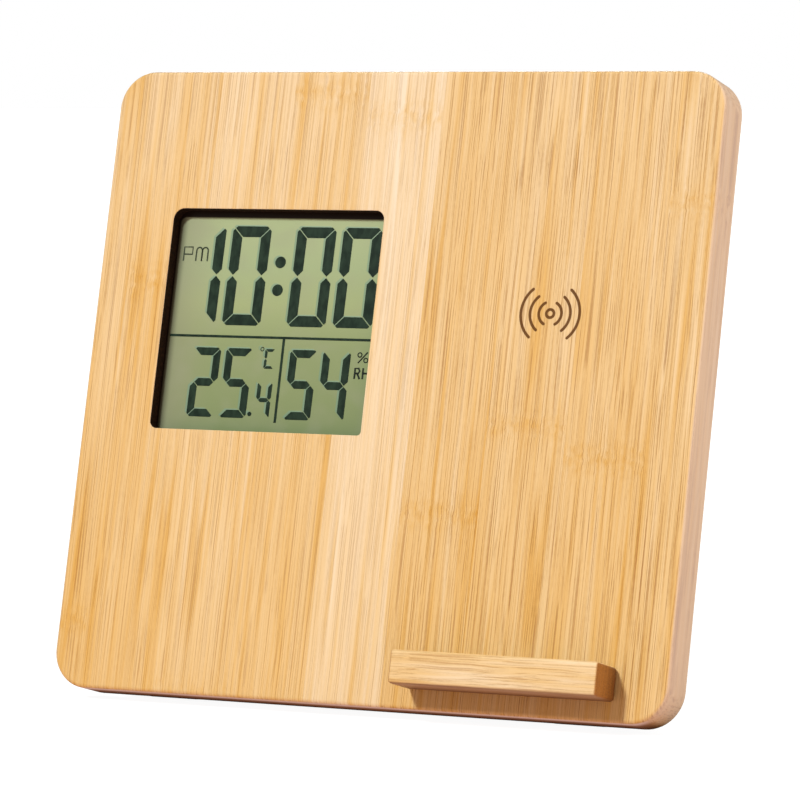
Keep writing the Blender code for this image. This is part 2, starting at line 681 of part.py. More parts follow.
def build_buttons():
    switch_back = parts_y + SWITCH_HEIGHT
    plunger_y = (switch_back - PLUNGER_SEAT, switch_back + PLUNGER_PROUD)
    flange_y = (cover_inside - GAP - BUTTON_FLANGE_THICK, cover_inside - GAP)
    for name, x, z in button_places():
        switch = block(name + "_switch", centred(x, SWITCH_WIDTH), (parts_y, switch_back),
                       centred(z, SWITCH_WIDTH), EPOXY)
        well = plunger_y[0] - BUTTON_TRAVEL - GAP
        cut(switch, disc(name + "_well_cut", PLUNGER_RADIUS + GAP, x, (well, switch_back + 1 * MM), z,
                         sides=16))
        disc(name + "_plunger", PLUNGER_RADIUS, x, plunger_y, z, PALE_ABS, sides=16)
        button = disc(name + "_button", BUTTON_RADIUS, x, (flange_y[0], cover_back + BUTTON_PROUD), z,
                      GREY_ABS, rim_round=0.7 * MM)
        join(button,
             disc(name + "_flange", BUTTON_RADIUS + BUTTON_FLANGE, x, flange_y, z),
             disc(name + "_stem", BUTTON_STEM_RADIUS, x, (plunger_y[1] + GAP, flange_y[1]), z, sides=16))


# Charging module: coil, ferrite and the dish that holds them against the wood

LEADS_TURN = math.radians(225)      # where the coil's leads come out, from the right, turning up


def from_coil(radius, aside=0.0):
    """Point X and Z at a distance from the coil's centre towards its leads, and aside of that line."""
    along = Vector((math.cos(LEADS_TURN), math.sin(LEADS_TURN)))
    spot = Vector((charge_x, charge_z)) + radius * along + aside * along.orthogonal()
    return spot.x, spot.y


def build_charger():
    ring = [(COIL_INNER, COIL_THICK), (COIL_OUTER, COIL_THICK), (COIL_OUTER, 0), (COIL_INNER, 0),
            (COIL_INNER, COIL_THICK)]
    place("charging_coil", turned_mesh("coil", ring, WIDE_ROUND), (charge_x, coil_y[0], charge_z),
          COPPER, rotation=FACING_BACK)
    disc("ferrite_sheet", COIL_OUTER + FERRITE_MARGIN, charge_x, ferrite_y, charge_z, FERRITE,
         sides=WIDE_ROUND)
    depth = carrier_y[1] - carrier_y[0]
    inner = CARRIER_RADIUS - CARRIER_RIM
    dish = [(0, CARRIER_FLOOR), (inner, CARRIER_FLOOR), (inner, depth), (CARRIER_RADIUS, depth),
            (CARRIER_RADIUS, 0), (0, 0)]
    carrier = place("coil_carrier", turned_mesh("dish", dish, WIDE_ROUND),
                    (charge_x, carrier_y[0], charge_z), BLACK_ABS, rotation=FACING_BACK)
    x, z = from_coil(COIL_OUTER + FERRITE_MARGIN + CARRIER_RADIUS / 2)
    notch = block("notch_cut", centred(x, CARRIER_RADIUS), (carrier_y[0] - 1 * MM, carrier_y[1] + 1 * MM),
                  centred(z, CARRIER_NOTCH))
    notch.rotation_euler = (0, -LEADS_TURN, 0)
    cut(carrier, notch)


# Power board with its parts and the socket

def power_corners():
    """Centres of the two screws of the power board, at opposite corners."""
    return ((power_left + POWER_HOLE_INSET, power_low + POWER_HEIGHT - POWER_HOLE_INSET),
            (power_left + POWER_WIDTH - POWER_HOLE_INSET, power_low + POWER_HOLE_INSET))


# Places on the power board, each from its centre, in X and Z
INDUCTOR_AT = (4.0 * MM, -7.0 * MM)
DRIVER_AT = (2.0 * MM, 5.0 * MM)
FILTER_AT = (-5.0 * MM, 9.0 * MM)


def on_power_board(offset):
    return (power_left + POWER_WIDTH / 2 + offset[0], power_low + POWER_HEIGHT / 2 + offset[1])


def inlet_spans():
    """Spans of the socket's shell, whose mouth is level with the cover's left side."""
    middle = power_low + POWER_HEIGHT / 2
    return ((cover_left + GAP, cover_left + GAP + INLET_LENGTH),
            (power_parts_y, power_parts_y + INLET_HEIGHT), centred(middle, INLET_WIDTH))


def build_power_board():
    board = block("power_board", (power_left, power_left + POWER_WIDTH), power_y,
                  (power_low, power_low + POWER_HEIGHT), CIRCUIT)
    through = (power_y[0] - 1 * MM, power_y[1] + 1 * MM)
    cut(board, *[disc(f"power_hole_cut_{number}", SMALL_SCREW_RADIUS + GAP, x, through, z, sides=12)
                 for number, (x, z) in enumerate(power_corners())])
    screw = screw_mesh("power_screw", SMALL_SCREW_RADIUS, SMALL_HEAD_RADIUS, SMALL_HEAD_HEIGHT,
                       GAP + BOARD_THICK + SMALL_SCREW_BITE)
    for number, (x, z) in enumerate(power_corners()):
        place(f"power_board_screw_{number + 1}", screw, (x, power_y[0] - GAP, z), STEEL,
              rotation=FACING_FRONT)
    x, z = on_power_board(INDUCTOR_AT)
    block("power_inductor", centred(x, INDUCTOR_WIDTH), (power_parts_y, power_parts_y + INDUCTOR_HEIGHT),
          centred(z, INDUCTOR_WIDTH), FERRITE, corner=1.2 * MM, segments=3)
    x, z = on_power_board(DRIVER_AT)
    block("charger_chip", centred(x, DRIVER_WIDTH), (power_parts_y, power_parts_y + DRIVER_THICK),
          centred(z, DRIVER_WIDTH), EPOXY)
    x, z = on_power_board(FILTER_AT)
    disc("filter_capacitor", FILTER_RADIUS, x, (power_parts_y, power_parts_y + FILTER_HEIGHT), z,
         TINNED_CAN, sides=20, rim_round=0.4 * MM)


def build_inlet():
    x, y, z = inlet_spans()
    round_shell = INLET_HEIGHT * 0.42
    shell = block("usb_inlet", x, y, z, NICKEL, corner=round_shell, corner_axis=0, segments=4)
    inside_y = (y[0] + INLET_WALL, y[1] - INLET_WALL)
    inside_z = (z[0] + INLET_WALL, z[1] - INLET_WALL)
    cut(shell, block("inlet_cut", (x[0] - 1 * MM, x[1] - 2 * INLET_WALL), inside_y, inside_z,
                     corner=round_shell - INLET_WALL, corner_axis=0, segments=4))
    back = x[1] - 2 * INLET_WALL
    join(shell, block("usb_tongue", (back - TONGUE_LENGTH, back + INLET_WALL),
                      centred(sum(y) / 2, TONGUE_THICK), centred(sum(z) / 2, TONGUE_WIDTH)))


# Back cover: a shell with bosses, posts, ribs, battery bay and hinge ears moulded on

def cover_shell():
    """Tray with its mouth against the wood: a rounded block less its inside."""
    shell = block("rear_cover", (cover_left, cover_right), (cover_front, cover_back),
                  (cover_low, cover_high), BLACK_ABS, corner=COVER_CORNER, rims=((1, 1),),
                  rim_round=COVER_EDGE_ROUND)
    cut(shell, block("cover_inside_cut", (cover_left + COVER_WALL, cover_right - COVER_WALL),
                     (cover_front - 1 * MM, cover_inside), (cover_low + COVER_WALL, cover_high - COVER_WALL),
                     corner=COVER_CORNER - COVER_WALL))
    return shell


def slot(name, x, z, width, length):
    """Cutter for an upright slot with round ends, through the cover's back."""
    return block(name, centred(x, width), (cover_inside - 1 * MM, cover_back + 1 * MM),
                 centred(z, length), corner=width * 0.499, segments=3)


def boss_solids():
    """Screw bosses, with the holes and the sunk seats that go through them."""
    through = (cover_front - 1 * MM, cover_back + 1 * MM)
    solids = []
    cuts = []
    for number, (x, z) in enumerate(boss_points()):
        solids.append(disc(f"boss_{number}", BOSS_RADIUS, x, (cover_front, cover_back - GAP), z, sides=20))
        cuts.append(disc(f"boss_hole_cut_{number}", SCREW_RADIUS + GAP, x, through, z, sides=16))
        cuts.append(disc(f"boss_sink_cut_{number}", SCREW_HEAD_RADIUS + GAP, x,
                         (cover_back - SCREW_SINK, cover_back + 1 * MM), z, sides=16))
    return solids, cuts


def press_points():
    """Posts that press the coil carrier's rim, a third of a turn apart, in X and Z."""
    radius = CARRIER_RADIUS - CARRIER_RIM / 2
    turns = [math.radians(90 + 120 * number) for number in range(3)]
    return [(charge_x + radius * math.cos(turn), charge_z + radius * math.sin(turn)) for turn in turns]


def inner_solids():
    """Posts and ribs inside the cover, with the power board's screw holes."""
    into_wall = cover_inside + COVER_WALL / 2
    solids = []
    cuts = []
    for number, (x, z) in enumerate(press_points()):
        solids.append(disc(f"press_post_{number}", PRESS_POST_RADIUS, x, (carrier_y[1] + GAP, into_wall),
                           z, sides=16))
    bite = power_y[1] + SMALL_SCREW_BITE + 2 * GAP
    for number, (x, z) in enumerate(power_corners()):
        solids.append(disc(f"power_post_{number}", POWER_POST_RADIUS, x, (power_y[1] + GAP, into_wall),
                           z, sides=16))
        cuts.append(disc(f"power_post_cut_{number}", SMALL_SCREW_RADIUS + GAP, x, (power_y[1], bite), z,
                         sides=12))
    between = (window_x + frame_width / 2 + charge_x - CARRIER_RADIUS) / 2
    solids.append(block("upright_rib", centred(between, RIB_THICK), (cover_inside - RIB_HEIGHT, into_wall),
                        (HINGE_RISE - EAR_RADIUS, cover_high - BOSS_INSET)))
    solids.append(block("cross_rib", (cover_left + 0.6 * COVER_WALL, door_left - DOOR_LIP - DOOR_RAIL + GAP),
                        (cover_inside - RIB_HEIGHT / 3, into_wall),
                        centred(power_low + POWER_HEIGHT + 4.5 * MM, RIB_THICK)))
    return solids, cuts


def bay_solids():
    """Rails round the door and the bay in front of them; then the cells' space and the door's."""
    beyond = cover_right + 1 * MM
    rim = DOOR_LIP + DOOR_RAIL
    solids = [block("rail_block", (door_left - rim, cover_right - COVER_WALL / 2),
                    (rail_front, cover_inside + COVER_WALL / 2), (door_low - rim, door_high + rim)),
              block("bay_block", centred(bay_x, bay_width + 2 * BAY_WALL),
                    (bay_floor - BAY_WALL, rail_front + DOOR_RAIL / 2), (door_low, door_high),
                    corner=BAY_CORNER, segments=4)]
    cuts = [block("bay_cut", centred(bay_x, bay_width), (bay_floor, cover_back + 1 * MM),
                  (bay_low, bay_high)),
            block("lip_channel_cut", (door_left - DOOR_LIP, beyond), (lip_front - GAP, cover_inside),
                  (door_low - DOOR_LIP, door_high + DOOR_LIP)),
            block("door_place_cut", (door_left, beyond), (lip_back - GAP, cover_back + 1 * MM),
                  (door_low, door_high))]
    for number, (x, _) in enumerate(cell_places()):
        cuts.append(block(f"tab_slot_cut_{number}", centred(x, TAB_WIDTH + 2 * GAP),
                          centred(cell_y + TAB_OFFSET, PLATE_THICK + 2 * GAP),
                          (bay_high - 1 * MM, door_high + 1 * MM)))
    return solids, cuts


def arc(centre, radius, first, last, steps=10):
    """Points along an arc between two angles in degrees, from the first to the last."""
    turns = [math.radians(first + (last - first) * step / steps) for step in range(steps + 1)]
    return [(centre[0] + radius * math.cos(turn), centre[1] + radius * math.sin(turn)) for turn in turns]


def ear_outline():
    """Round top about the pin, straight sides, and a hollow round at each side of the foot."""
    root = cover_back - COVER_WALL / 2
    half = EAR_RADIUS + EAR_FILLET
    turn_y = cover_back + EAR_FILLET
    return [(root, HINGE_RISE - half),
            *arc((turn_y, HINGE_RISE - half), EAR_FILLET, 180, 90, 5),
            *arc((pin_y, HINGE_RISE), EAR_RADIUS, -90, 90, 12),
            *arc((turn_y, HINGE_RISE + half), EAR_FILLET, 270, 180, 5),
            (root, HINGE_RISE + half)]


def hinge_solids():
    """Two ears on the cover's back, with the pin's hole through both."""
    reach = LEG_WIDTH / 2 + GAP + EAR_THICK / 2
    solids = []
    for name, x in zip(("ear_left", "ear_right"), (-reach, reach)):
        bm = outline_bmesh(ear_outline(), centred(x, EAR_THICK))
        solids.append(place(name, to_mesh(bm, name), (0, 0, 0)))
    beyond = reach + EAR_THICK
    return solids, [bar("pin_hole_cut", PIN_RADIUS + GAP, (-beyond, beyond), pin_y, HINGE_RISE, sides=20)]


def opening_cuts():
    """Holes for the buttons, air, sound, the socket and the feet's pegs."""
    through = (cover_inside - 1 * MM, cover_back + 1 * MM)
    cuts = [disc(name + "_hole_cut", BUTTON_RADIUS + GAP, x, through, z) for name, x, z in button_places()]
    for number in range(VENT_COUNT):
        x = charge_x + (number - (VENT_COUNT - 1) / 2) * VENT_PITCH
        cuts.append(slot(f"vent_cut_{number}", x, charge_z, VENT_WIDTH, VENT_LENGTH))
    sensor_x, sensor_z = on_board(SENSOR_AT)
    for number in range(SENSOR_VENT_COUNT):
        x = sensor_x + (number - (SENSOR_VENT_COUNT - 1) / 2) * SENSOR_VENT_PITCH
        cuts.append(slot(f"sensor_vent_cut_{number}", x, sensor_z, SENSOR_VENT_WIDTH, SENSOR_VENT_LENGTH))
    sound = on_board(BUZZER_AT)
    for number in range(SOUND_HOLE_COUNT):
        turn = 2 * math.pi * number / SOUND_HOLE_COUNT
        cuts.append(disc(f"sound_cut_{number}", SOUND_HOLE_RADIUS,
                         sound[0] + SOUND_RING_RADIUS * math.cos(turn), through,
                         sound[1] + SOUND_RING_RADIUS * math.sin(turn), sides=8))
    x, y, z = inlet_spans()
    cuts.append(block("inlet_hole_cut", (cover_left - 1 * MM, cover_left + COVER_WALL + 1 * MM),
                      (y[0] - GAP, y[1] + GAP), (z[0] - GAP, z[1] + GAP),
                      corner=INLET_HEIGHT * 0.42 + GAP, corner_axis=0, segments=4))
    for side in (-1, 1):
        cuts.append(post(f"foot_hole_cut_{side + 1}", FOOT_PEG_RADIUS + GAP, side * FOOT_SPREAD / 2,
                         foot_depth_middle(), (cover_low - 1 * MM, cover_low + COVER_WALL + 1 * MM),
                         sides=16))
    return cuts


def build_cover():
    cover = cover_shell()
    cuts = opening_cuts()
    solids = []
    for more_solids, more_cuts in (boss_solids(), inner_solids(), bay_solids(), hinge_solids()):
        solids += more_solids
        cuts += more_cuts
    join(cover, *solids)
    cut(cover, *cuts)
    seat = cover_back - SCREW_SINK + GAP
    screw = screw_mesh("cover_screw", SCREW_RADIUS, SCREW_HEAD_RADIUS, SCREW_HEAD_HEIGHT,
                       seat - PANEL_THICK + SCREW_BITE)
    for number, (x, z) in enumerate(boss_points()):
        place(f"cover_screw_{number + 1}", screw, (x, seat, z), STEEL, rotation=FACING_BACK)


# Battery bay's contents and its sliding door

def cell_places():
    """Centre X of each cell and whether its nub points up."""
    left, right = centred(bay_x, CELL_PITCH)
    return ((left, True), (right, False))


def build_cells():
    shoulder = 0.5 * MM
    profile = [(0, cell_length), (CELL_NUB_RADIUS, cell_length), (CELL_NUB_RADIUS, CELL_BODY),
               (CELL_RADIUS - shoulder, CELL_BODY), (CELL_RADIUS, CELL_BODY - shoulder),
               (CELL_RADIUS, shoulder), (CELL_RADIUS - shoulder, 0), (0, 0)]
    cell = turned_mesh("cell", profile)
    plate_top = bay_low + GAP + PLATE_THICK
    flat_end = plate_top + GAP + SPRING_LENGTH + GAP
    for number, (x, nub_up) in enumerate(cell_places()):
        low = flat_end if nub_up else plate_top + GAP + cell_length
        place(f"battery_{number + 1}", cell, (x, cell_y, low), CELL_WRAP,
              rotation=UPRIGHT if nub_up else UPSIDE_DOWN)


def spring_route(x, low, wide_first):
    """Points of a conical helix that rises over the spring's length."""
    per_turn = 9
    count = SPRING_TURNS * per_turn
    rise = SPRING_LENGTH - 2 * SPRING_WIRE
    points = []
    for step in range(count + 1):
        share = step / count
        width = SPRING_WIDE + (SPRING_NARROW - SPRING_WIDE) * (share if wide_first else 1 - share)
        turn = 2 * math.pi * SPRING_TURNS * share
        points.append((x + width * math.cos(turn), cell_y + width * math.sin(turn),
                       low + SPRING_WIRE + rise * share))
    return points


def tube(name, route, radius, material):
    """Round wire with closed ends along a route."""
    curve = bpy.data.curves.new(name, "CURVE")
    curve.dimensions = "3D"
    curve.bevel_depth = radius
    curve.bevel_resolution = 1
    curve.use_fill_caps = True
    spline = curve.splines.new("POLY")
    spline.points.add(len(route) - 1)
    for point, spot in zip(spline.points, route):
        point.co = (*spot, 1.0)
    curve.materials.append(material)
    obj = bpy.data.objects.new(name, curve)
    parts.objects.link(obj)
    obj.parent = board_frame
    return obj


def band_outline(route, thick):
    """Outline of a flat lead seen from its edge, half its thickness to each side of a route."""
    spots = [Vector(spot) for spot in route]
    ways = [after - before for before, after in zip([spots[0], *spots[:-1]], [*spots[1:], spots[-1]])]
    sides = [Vector((-way.y, way.x)).normalized() * thick / 2 for way in ways]
    near = [spot + side for spot, side in zip(spots, sides)]
    far = [spot - side for spot, side in zip(spots, sides)]
    return [*near, *reversed(far)]


def build_contacts():
    plate_z = (bay_low + GAP, bay_low + GAP + PLATE_THICK)
    plate_y = centred(cell_y, PLATE_WIDTH)
    block("bridge_plate", centred(bay_x, CELL_PITCH + PLATE_WIDTH), plate_y, plate_z, NICKEL)
    top_z = (bay_high - GAP - PLATE_THICK, bay_high - GAP)
    for number, (x, _) in enumerate(cell_places()):
        plate = block(f"end_plate_{number + 1}", centred(x, PLATE_WIDTH), plate_y, top_z, NICKEL)
        join(plate, block(f"plate_tab_{number}", centred(x, TAB_WIDTH),
                          centred(cell_y + TAB_OFFSET, PLATE_THICK),
                          (top_z[0] + PLATE_THICK / 4, top_z[1] + TAB_REACH)))
    left, right = (x for x, _ in cell_places())
    tube("contact_spring_1", spring_route(left, plate_z[1] + GAP, True), SPRING_WIRE, STEEL)
    tube("contact_spring_2", spring_route(right, top_z[0] - GAP - SPRING_LENGTH, False), SPRING_WIRE,
         STEEL)


def build_door():
    """Outer plate flush with the cover, a lip that runs under it, and grip ribs."""
    beyond = cover_right + 1 * MM
    door = block("battery_door", (door_left + GAP, beyond), ((lip_front + lip_back) / 2,
                 cover_back + 1 * MM), (door_low + GAP, door_high - GAP), BLACK_ABS)
    join(door, block("door_lip", (door_left - DOOR_LIP + GAP, beyond), (lip_front, lip_back),
                     (door_low - DOOR_LIP + GAP, door_high + DOOR_LIP - GAP)))
    outside = block("door_edge_guard", (cover_left, cover_right), (cover_front, cover_back),
                    (cover_low, cover_high), corner=COVER_CORNER, rims=((1, 1),),
                    rim_round=COVER_EDGE_ROUND)
    combine(door, [outside], "INTERSECT")
    rib_z = centred((door_low + door_high) / 2, DOOR_RIB_LENGTH)
    join(door, *[post(f"door_rib_{number}", DOOR_RIB_RADIUS,
                      bay_x + (number - (DOOR_RIB_COUNT - 1) / 2) * DOOR_RIB_PITCH, cover_back, rib_z,
                      sides=12) for number in range(DOOR_RIB_COUNT)])


# Stand leg, pin and rubber pad, in the stand's own frame: Y through the leg, Z up it

def leg_outline():
    """Flat leg, barrel about the pin, and the heel that stops the leg against the cover."""
    half = LEG_THICK / 2
    side = math.degrees(math.acos(half / BARREL_RADIUS))
    return [(-half, -leg_end), (half, -leg_end), *arc((0, 0), BARREL_RADIUS, -side, side, 8),
            (half, heel), (-half, heel), *arc((0, 0), BARREL_RADIUS, 180 - side, 180 + side, 8)]


def build_stand():
    bm = outline_bmesh(leg_outline(), centred(0, LEG_WIDTH))
    corners = [edge for edge in edges_at(bm, 2, -leg_end) if edge in parallel_edges(bm, 1)]
    bevel(bm, corners, LEG_CORNER, 6)
    leg = place("stand_leg", to_mesh(bm, "stand_leg"), (0, 0, 0), BLACK_ABS, parent=stand_axis)
    panel_low = -leg_end + LEG_PANEL_BORDER + TENON_LENGTH
    panel_high = -BARREL_RADIUS - LEG_PANEL_BORDER
    pitch = (panel_high - panel_low) / (LEG_RIB_COUNT + 1)
    cuts = [bar("leg_pin_cut", PIN_RADIUS + GAP, (-LEG_WIDTH, LEG_WIDTH), 0, 0, sides=20,
                parent=stand_axis),
            block("tenon_cut", centred(0, TENON_WIDTH + 2 * GAP), centred(0, TENON_THICK + 2 * GAP),
                  (-leg_end - 1 * MM, -leg_end + TENON_LENGTH + GAP), parent=stand_axis)]
    for number in range(LEG_RIB_COUNT + 1):
        low = panel_low + number * pitch + (LEG_THICK / 4 if number else 0)
        high = panel_low + (number + 1) * pitch - (LEG_THICK / 4 if number < LEG_RIB_COUNT else 0)
        cuts.append(block(f"leg_panel_cut_{number}", centred(0, LEG_WIDTH - 2 * LEG_PANEL_BORDER),
                          (-LEG_THICK, LEG_PANEL_DEPTH - LEG_THICK / 2), (low, high), corner=1.5 * MM,
                          segments=3, parent=stand_axis))
    cut(leg, *cuts)
    pin_half = LEG_WIDTH / 2 + GAP + EAR_THICK
    bar("stand_pin", PIN_RADIUS, (-pin_half, pin_half), pin_y, HINGE_RISE, STEEL, sides=20)
    pad_half = LEG_THICK / 2 + PAD_PROUD
    pad = block("stand_pad", centred(0, LEG_WIDTH - 2 * PAD_INSET), (-pad_half, pad_half),
                (-leg_reach - 2 * PAD_THICK, -leg_end - GAP), RUBBER, corner=1 * MM, corner_axis=2,
                segments=3, parent=stand_axis)
    join(pad, block("pad_tenon", centred(0, TENON_WIDTH), centred(0, TENON_THICK),
                    (-leg_end - 1 * MM, -leg_end + TENON_LENGTH), parent=stand_axis))
    cut(pad, table_cutter("pad_table_cut"))


def table_cutter(name):
    """Slab under the table's plane, upright in the world, which cuts rubber flat."""
    size = 0.3
    bm = block_bmesh(Vector((size, size, size)))
    cutter = place(name, to_mesh(bm, name), (0, 0, -size / 2), parent=None)
    return cutter


# Rubber feet pegged into the cover's lower wall and cut flat on the table

def foot_depth_middle():
    return cover_inside - FOOT_PEG_HEAD - GAP


def build_feet():
    middle = foot_depth_middle()
    under = cover_low - GAP
    for side in (-1, 1):
        name = "foot_left" if side < 0 else "foot_right"
        x = side * FOOT_SPREAD / 2
        low = table_rise(middle - FOOT_DEPTH / 2) - 1 * MM
        foot = block(name, centred(x, FOOT_WIDTH), centred(middle, FOOT_DEPTH), (low, under), RUBBER,
                     corner=1.5 * MM, corner_axis=2, segments=3)
        inside = cover_low + COVER_WALL + GAP
        join(foot,
             post(name + "_peg", FOOT_PEG_RADIUS, x, middle, (under - 0.5 * MM, inside + 0.2 * MM),
                  sides=16),
             post(name + "_peg_head", FOOT_PEG_HEAD, x, middle, (inside, inside + FOOT_PEG_HEAD_HEIGHT),
                  sides=16))
        cut(foot, table_cutter(name + "_table_cut"))


# Leads between the boards, the coil and the battery bay

def smooth_route(points):
    """Points on a smooth curve through chosen points (Catmull-Rom), a few per span."""
    chosen = [Vector(point) for point in points]
    chosen = [2 * chosen[0] - chosen[1], *chosen, 2 * chosen[-1] - chosen[-2]]
    route = []
    for a, b, c, d in zip(chosen, chosen[1:], chosen[2:], chosen[3:]):
        for step in range(LEAD_STEPS):
            t = step / LEAD_STEPS
            route.append(0.5 * (2 * b + (c - a) * t + (2 * a - 5 * b + 4 * c - d) * t ** 2
                                + (3 * b - a - 3 * c + d) * t ** 3))
    route.append(chosen[-2])
    return route


def build_coil_leads():
    """Out of the coil's edge, back through the dish's notch, then down to the power board."""
    edge = COIL_OUTER + GAP
    past_ferrite = COIL_OUTER + FERRITE_MARGIN + GAP + LEAD_RADIUS
    over_wood = PANEL_THICK + 2 * GAP + LEAD_RADIUS
    power_right = power_left + POWER_WIDTH
    power_high = power_low + POWER_HEIGHT
    on_power = power_parts_y + LEAD_RADIUS
    for number, side in enumerate((-0.5, 0.5)):
        aside = side * LEAD_SPACING
        rises = ((edge, sum(coil_y) / 2), (past_ferrite, ferrite_y[0]), (past_ferrite, carrier_y[0]),
                 (past_ferrite + 0.3 * MM, carrier_y[1]), (CARRIER_RADIUS + 2.5 * MM, over_wood),
                 (CARRIER_RADIUS + 7 * MM, over_wood + 0.4 * MM))
        points = []
        for radius, y in rises:
            x, z = from_coil(radius, aside)
            points.append((x, y, z))
        points += [(power_right + 23 * MM + aside, over_wood + 0.8 * MM, power_high + 5 * MM - aside),
                   (power_right + 5 * MM, on_power - 0.5 * MM, power_high - 6 * MM - 2 * aside),
                   (power_right - 2 * MM, on_power, power_high - 8 * MM - 2 * aside),
                   (power_right - 6 * MM, on_power, power_high - 8 * MM - 2 * aside)]
        tube(f"coil_lead_{number + 1}", smooth_route(points), LEAD_RADIUS, LEAD_WHITE)


def build_battery_leads():
    """From the end plates' tabs, over the coil's leads, down onto the main board."""
    tab_top = bay_high - GAP + TAB_REACH + GAP + LEAD_RADIUS
    tab_y = cell_y + TAB_OFFSET
    board_right = window_x + frame_width / 2
    on_main = parts_y + LEAD_RADIUS
    leads = (("battery_lead_plus", LEAD_RED), ("battery_lead_minus", LEAD_BLACK))
    for number, ((x, _), (name, material)) in enumerate(zip(cell_places(), leads)):
        rise = tab_top + number * LEAD_SPACING
        points = [(x + 1 * MM, tab_y, tab_top), (x - 2 * MM, tab_y, tab_top + 0.4 * (rise - tab_top)),
                  (x - 8 * MM, tab_y + 0.6 * MM, rise), (board_right + 18 * MM, tab_y + 1.4 * MM, rise),
                  (board_right + 7 * MM, tab_y, rise - 2 * MM),
                  (board_right - 2 * MM, on_main, rise - 4 * MM),
                  (board_right - 5 * MM, on_main, rise - 4 * MM)]
        tube(name, smooth_route(points), LEAD_RADIUS, material)


def build_board_link():
    """Flat lead from the top of the power board to the foot of the main board."""
    power_high = power_low + POWER_HEIGHT
    board_low = window_z - frame_height / 2
    on_power = power_parts_y + BAND_THICK / 2
    on_main = parts_y + BAND_THICK / 2
    points = [(on_power, power_high - 3.5 * MM), (on_power, power_high + 0.5 * MM),
              ((on_power + on_main) / 2, (power_high + board_low) / 2),
              (on_main, board_low + 1.5 * MM), (on_main, board_low + 5.5 * MM)]
    outline = band_outline(smooth_route(points), BAND_THICK)
    middle = power_left + POWER_WIDTH / 2
    place("board_link", to_mesh(outline_bmesh(outline, centred(middle, BAND_WIDTH)), "board_link"),
          (0, 0, 0), LEAD_WHITE)


build_panel()
build_ledge()
build_display()
build_board_parts()
build_buttons()
build_charger()
build_power_board()
build_inlet()
build_cover()
build_cells()
build_contacts()
build_door()
build_stand()
build_feet()
build_coil_leads()
build_battery_leads()
build_board_link()
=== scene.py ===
"""Looks of a bamboo weather station that also charges a phone.

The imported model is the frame. Pieces are placed from its nodes in the board's own axes,
in millimetres: X to the right, Y from the front face to the back and Z up the board,
all from the middle of the front face's lower edge.
"""
import json

import bmesh
import bpy
import math
import numpy as np
from mathutils import Matrix, Vector

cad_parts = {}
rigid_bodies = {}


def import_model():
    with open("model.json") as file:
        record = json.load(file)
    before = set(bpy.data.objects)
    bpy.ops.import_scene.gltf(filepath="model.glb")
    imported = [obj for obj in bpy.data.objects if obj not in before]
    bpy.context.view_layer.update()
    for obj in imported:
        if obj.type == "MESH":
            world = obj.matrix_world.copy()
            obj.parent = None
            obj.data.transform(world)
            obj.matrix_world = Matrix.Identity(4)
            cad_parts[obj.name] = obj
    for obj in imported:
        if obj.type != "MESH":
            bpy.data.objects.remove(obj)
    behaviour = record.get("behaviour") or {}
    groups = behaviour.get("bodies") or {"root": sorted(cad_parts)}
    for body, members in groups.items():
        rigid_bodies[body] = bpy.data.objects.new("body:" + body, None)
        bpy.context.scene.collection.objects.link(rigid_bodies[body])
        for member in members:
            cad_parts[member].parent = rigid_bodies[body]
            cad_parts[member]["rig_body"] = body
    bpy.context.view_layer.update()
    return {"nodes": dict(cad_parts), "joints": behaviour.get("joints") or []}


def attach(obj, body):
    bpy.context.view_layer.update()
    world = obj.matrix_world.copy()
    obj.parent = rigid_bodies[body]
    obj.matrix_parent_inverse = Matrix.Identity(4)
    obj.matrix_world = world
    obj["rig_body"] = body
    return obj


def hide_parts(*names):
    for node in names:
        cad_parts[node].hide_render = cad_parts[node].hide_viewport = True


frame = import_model()
nodes = frame["nodes"]


# Board's own axes
# The board leans back on its stand, and the buttons are pressed straight through it. So
# its angle comes from a button's joint, and its place from its front and lower edge.

MM = 0.001
press = next(joint for joint in frame["joints"] if joint["name"] == "mode_press")
lean = math.atan2(press["axis"][2], -press["axis"][1])
upright = np.array(Matrix.Rotation(lean, 3, "X"))


def turned_upright(node):
    """A node's corners, turned so that the board stands upright. In metres."""
    flat = np.empty(len(nodes[node].data.vertices) * 3)
    nodes[node].data.vertices.foreach_get("co", flat)
    return flat.reshape(-1, 3) @ upright.T


panel_corners = turned_upright("front_panel")
lower_edge = np.array([0.0, panel_corners[:, 1].min(), panel_corners[:, 2].min()])


def spans(node):
    """Lowest and highest place of a node along the board's X, Y and Z, in millimetres."""
    local = (turned_upright(node) - lower_edge) / MM
    return list(zip(local.min(0), local.max(0)))


def middle(span):
    """Halfway between a lowest and a highest place."""
    return (span[0] + span[1]) / 2


def to_world(local):
    """Places in the world, in metres, from places in the board's axes in millimetres."""
    return (np.asarray(local) * MM + lower_edge) @ upright


panel_x, panel_y, panel_z = spans("front_panel")
face_middle = to_world([middle(panel_x), panel_y[0], middle(panel_z)])


# Camera
# A long lens stands to the right of the board and a little above its middle, and looks
# down at it slightly.

FOCAL_LENGTH = 202.6
SENSOR_WIDTH = 36.0
CAMERA_FROM_FACE = (441.0, -887.5, 64.4)
CAMERA_DOWN = 3.913         # degrees below level
CAMERA_TURN = 26.198        # degrees to the left

camera_data = bpy.data.cameras.new("camera")
camera_data.lens = FOCAL_LENGTH
camera_data.sensor_width = SENSOR_WIDTH
camera = bpy.data.objects.new("camera", camera_data)
camera.location = face_middle + np.array(CAMERA_FROM_FACE) * MM
camera.rotation_euler = (math.radians(90 - CAMERA_DOWN), 0, math.radians(CAMERA_TURN))
bpy.context.scene.collection.objects.link(camera)
bpy.context.scene.camera = camera
bpy.context.scene.view_settings.view_transform = "Standard"


# Floor and lights
# A white table glows, so that shadows on it stay faint. A soft key light comes from high
# on the left, a wide one from the right, and a weak one from behind.

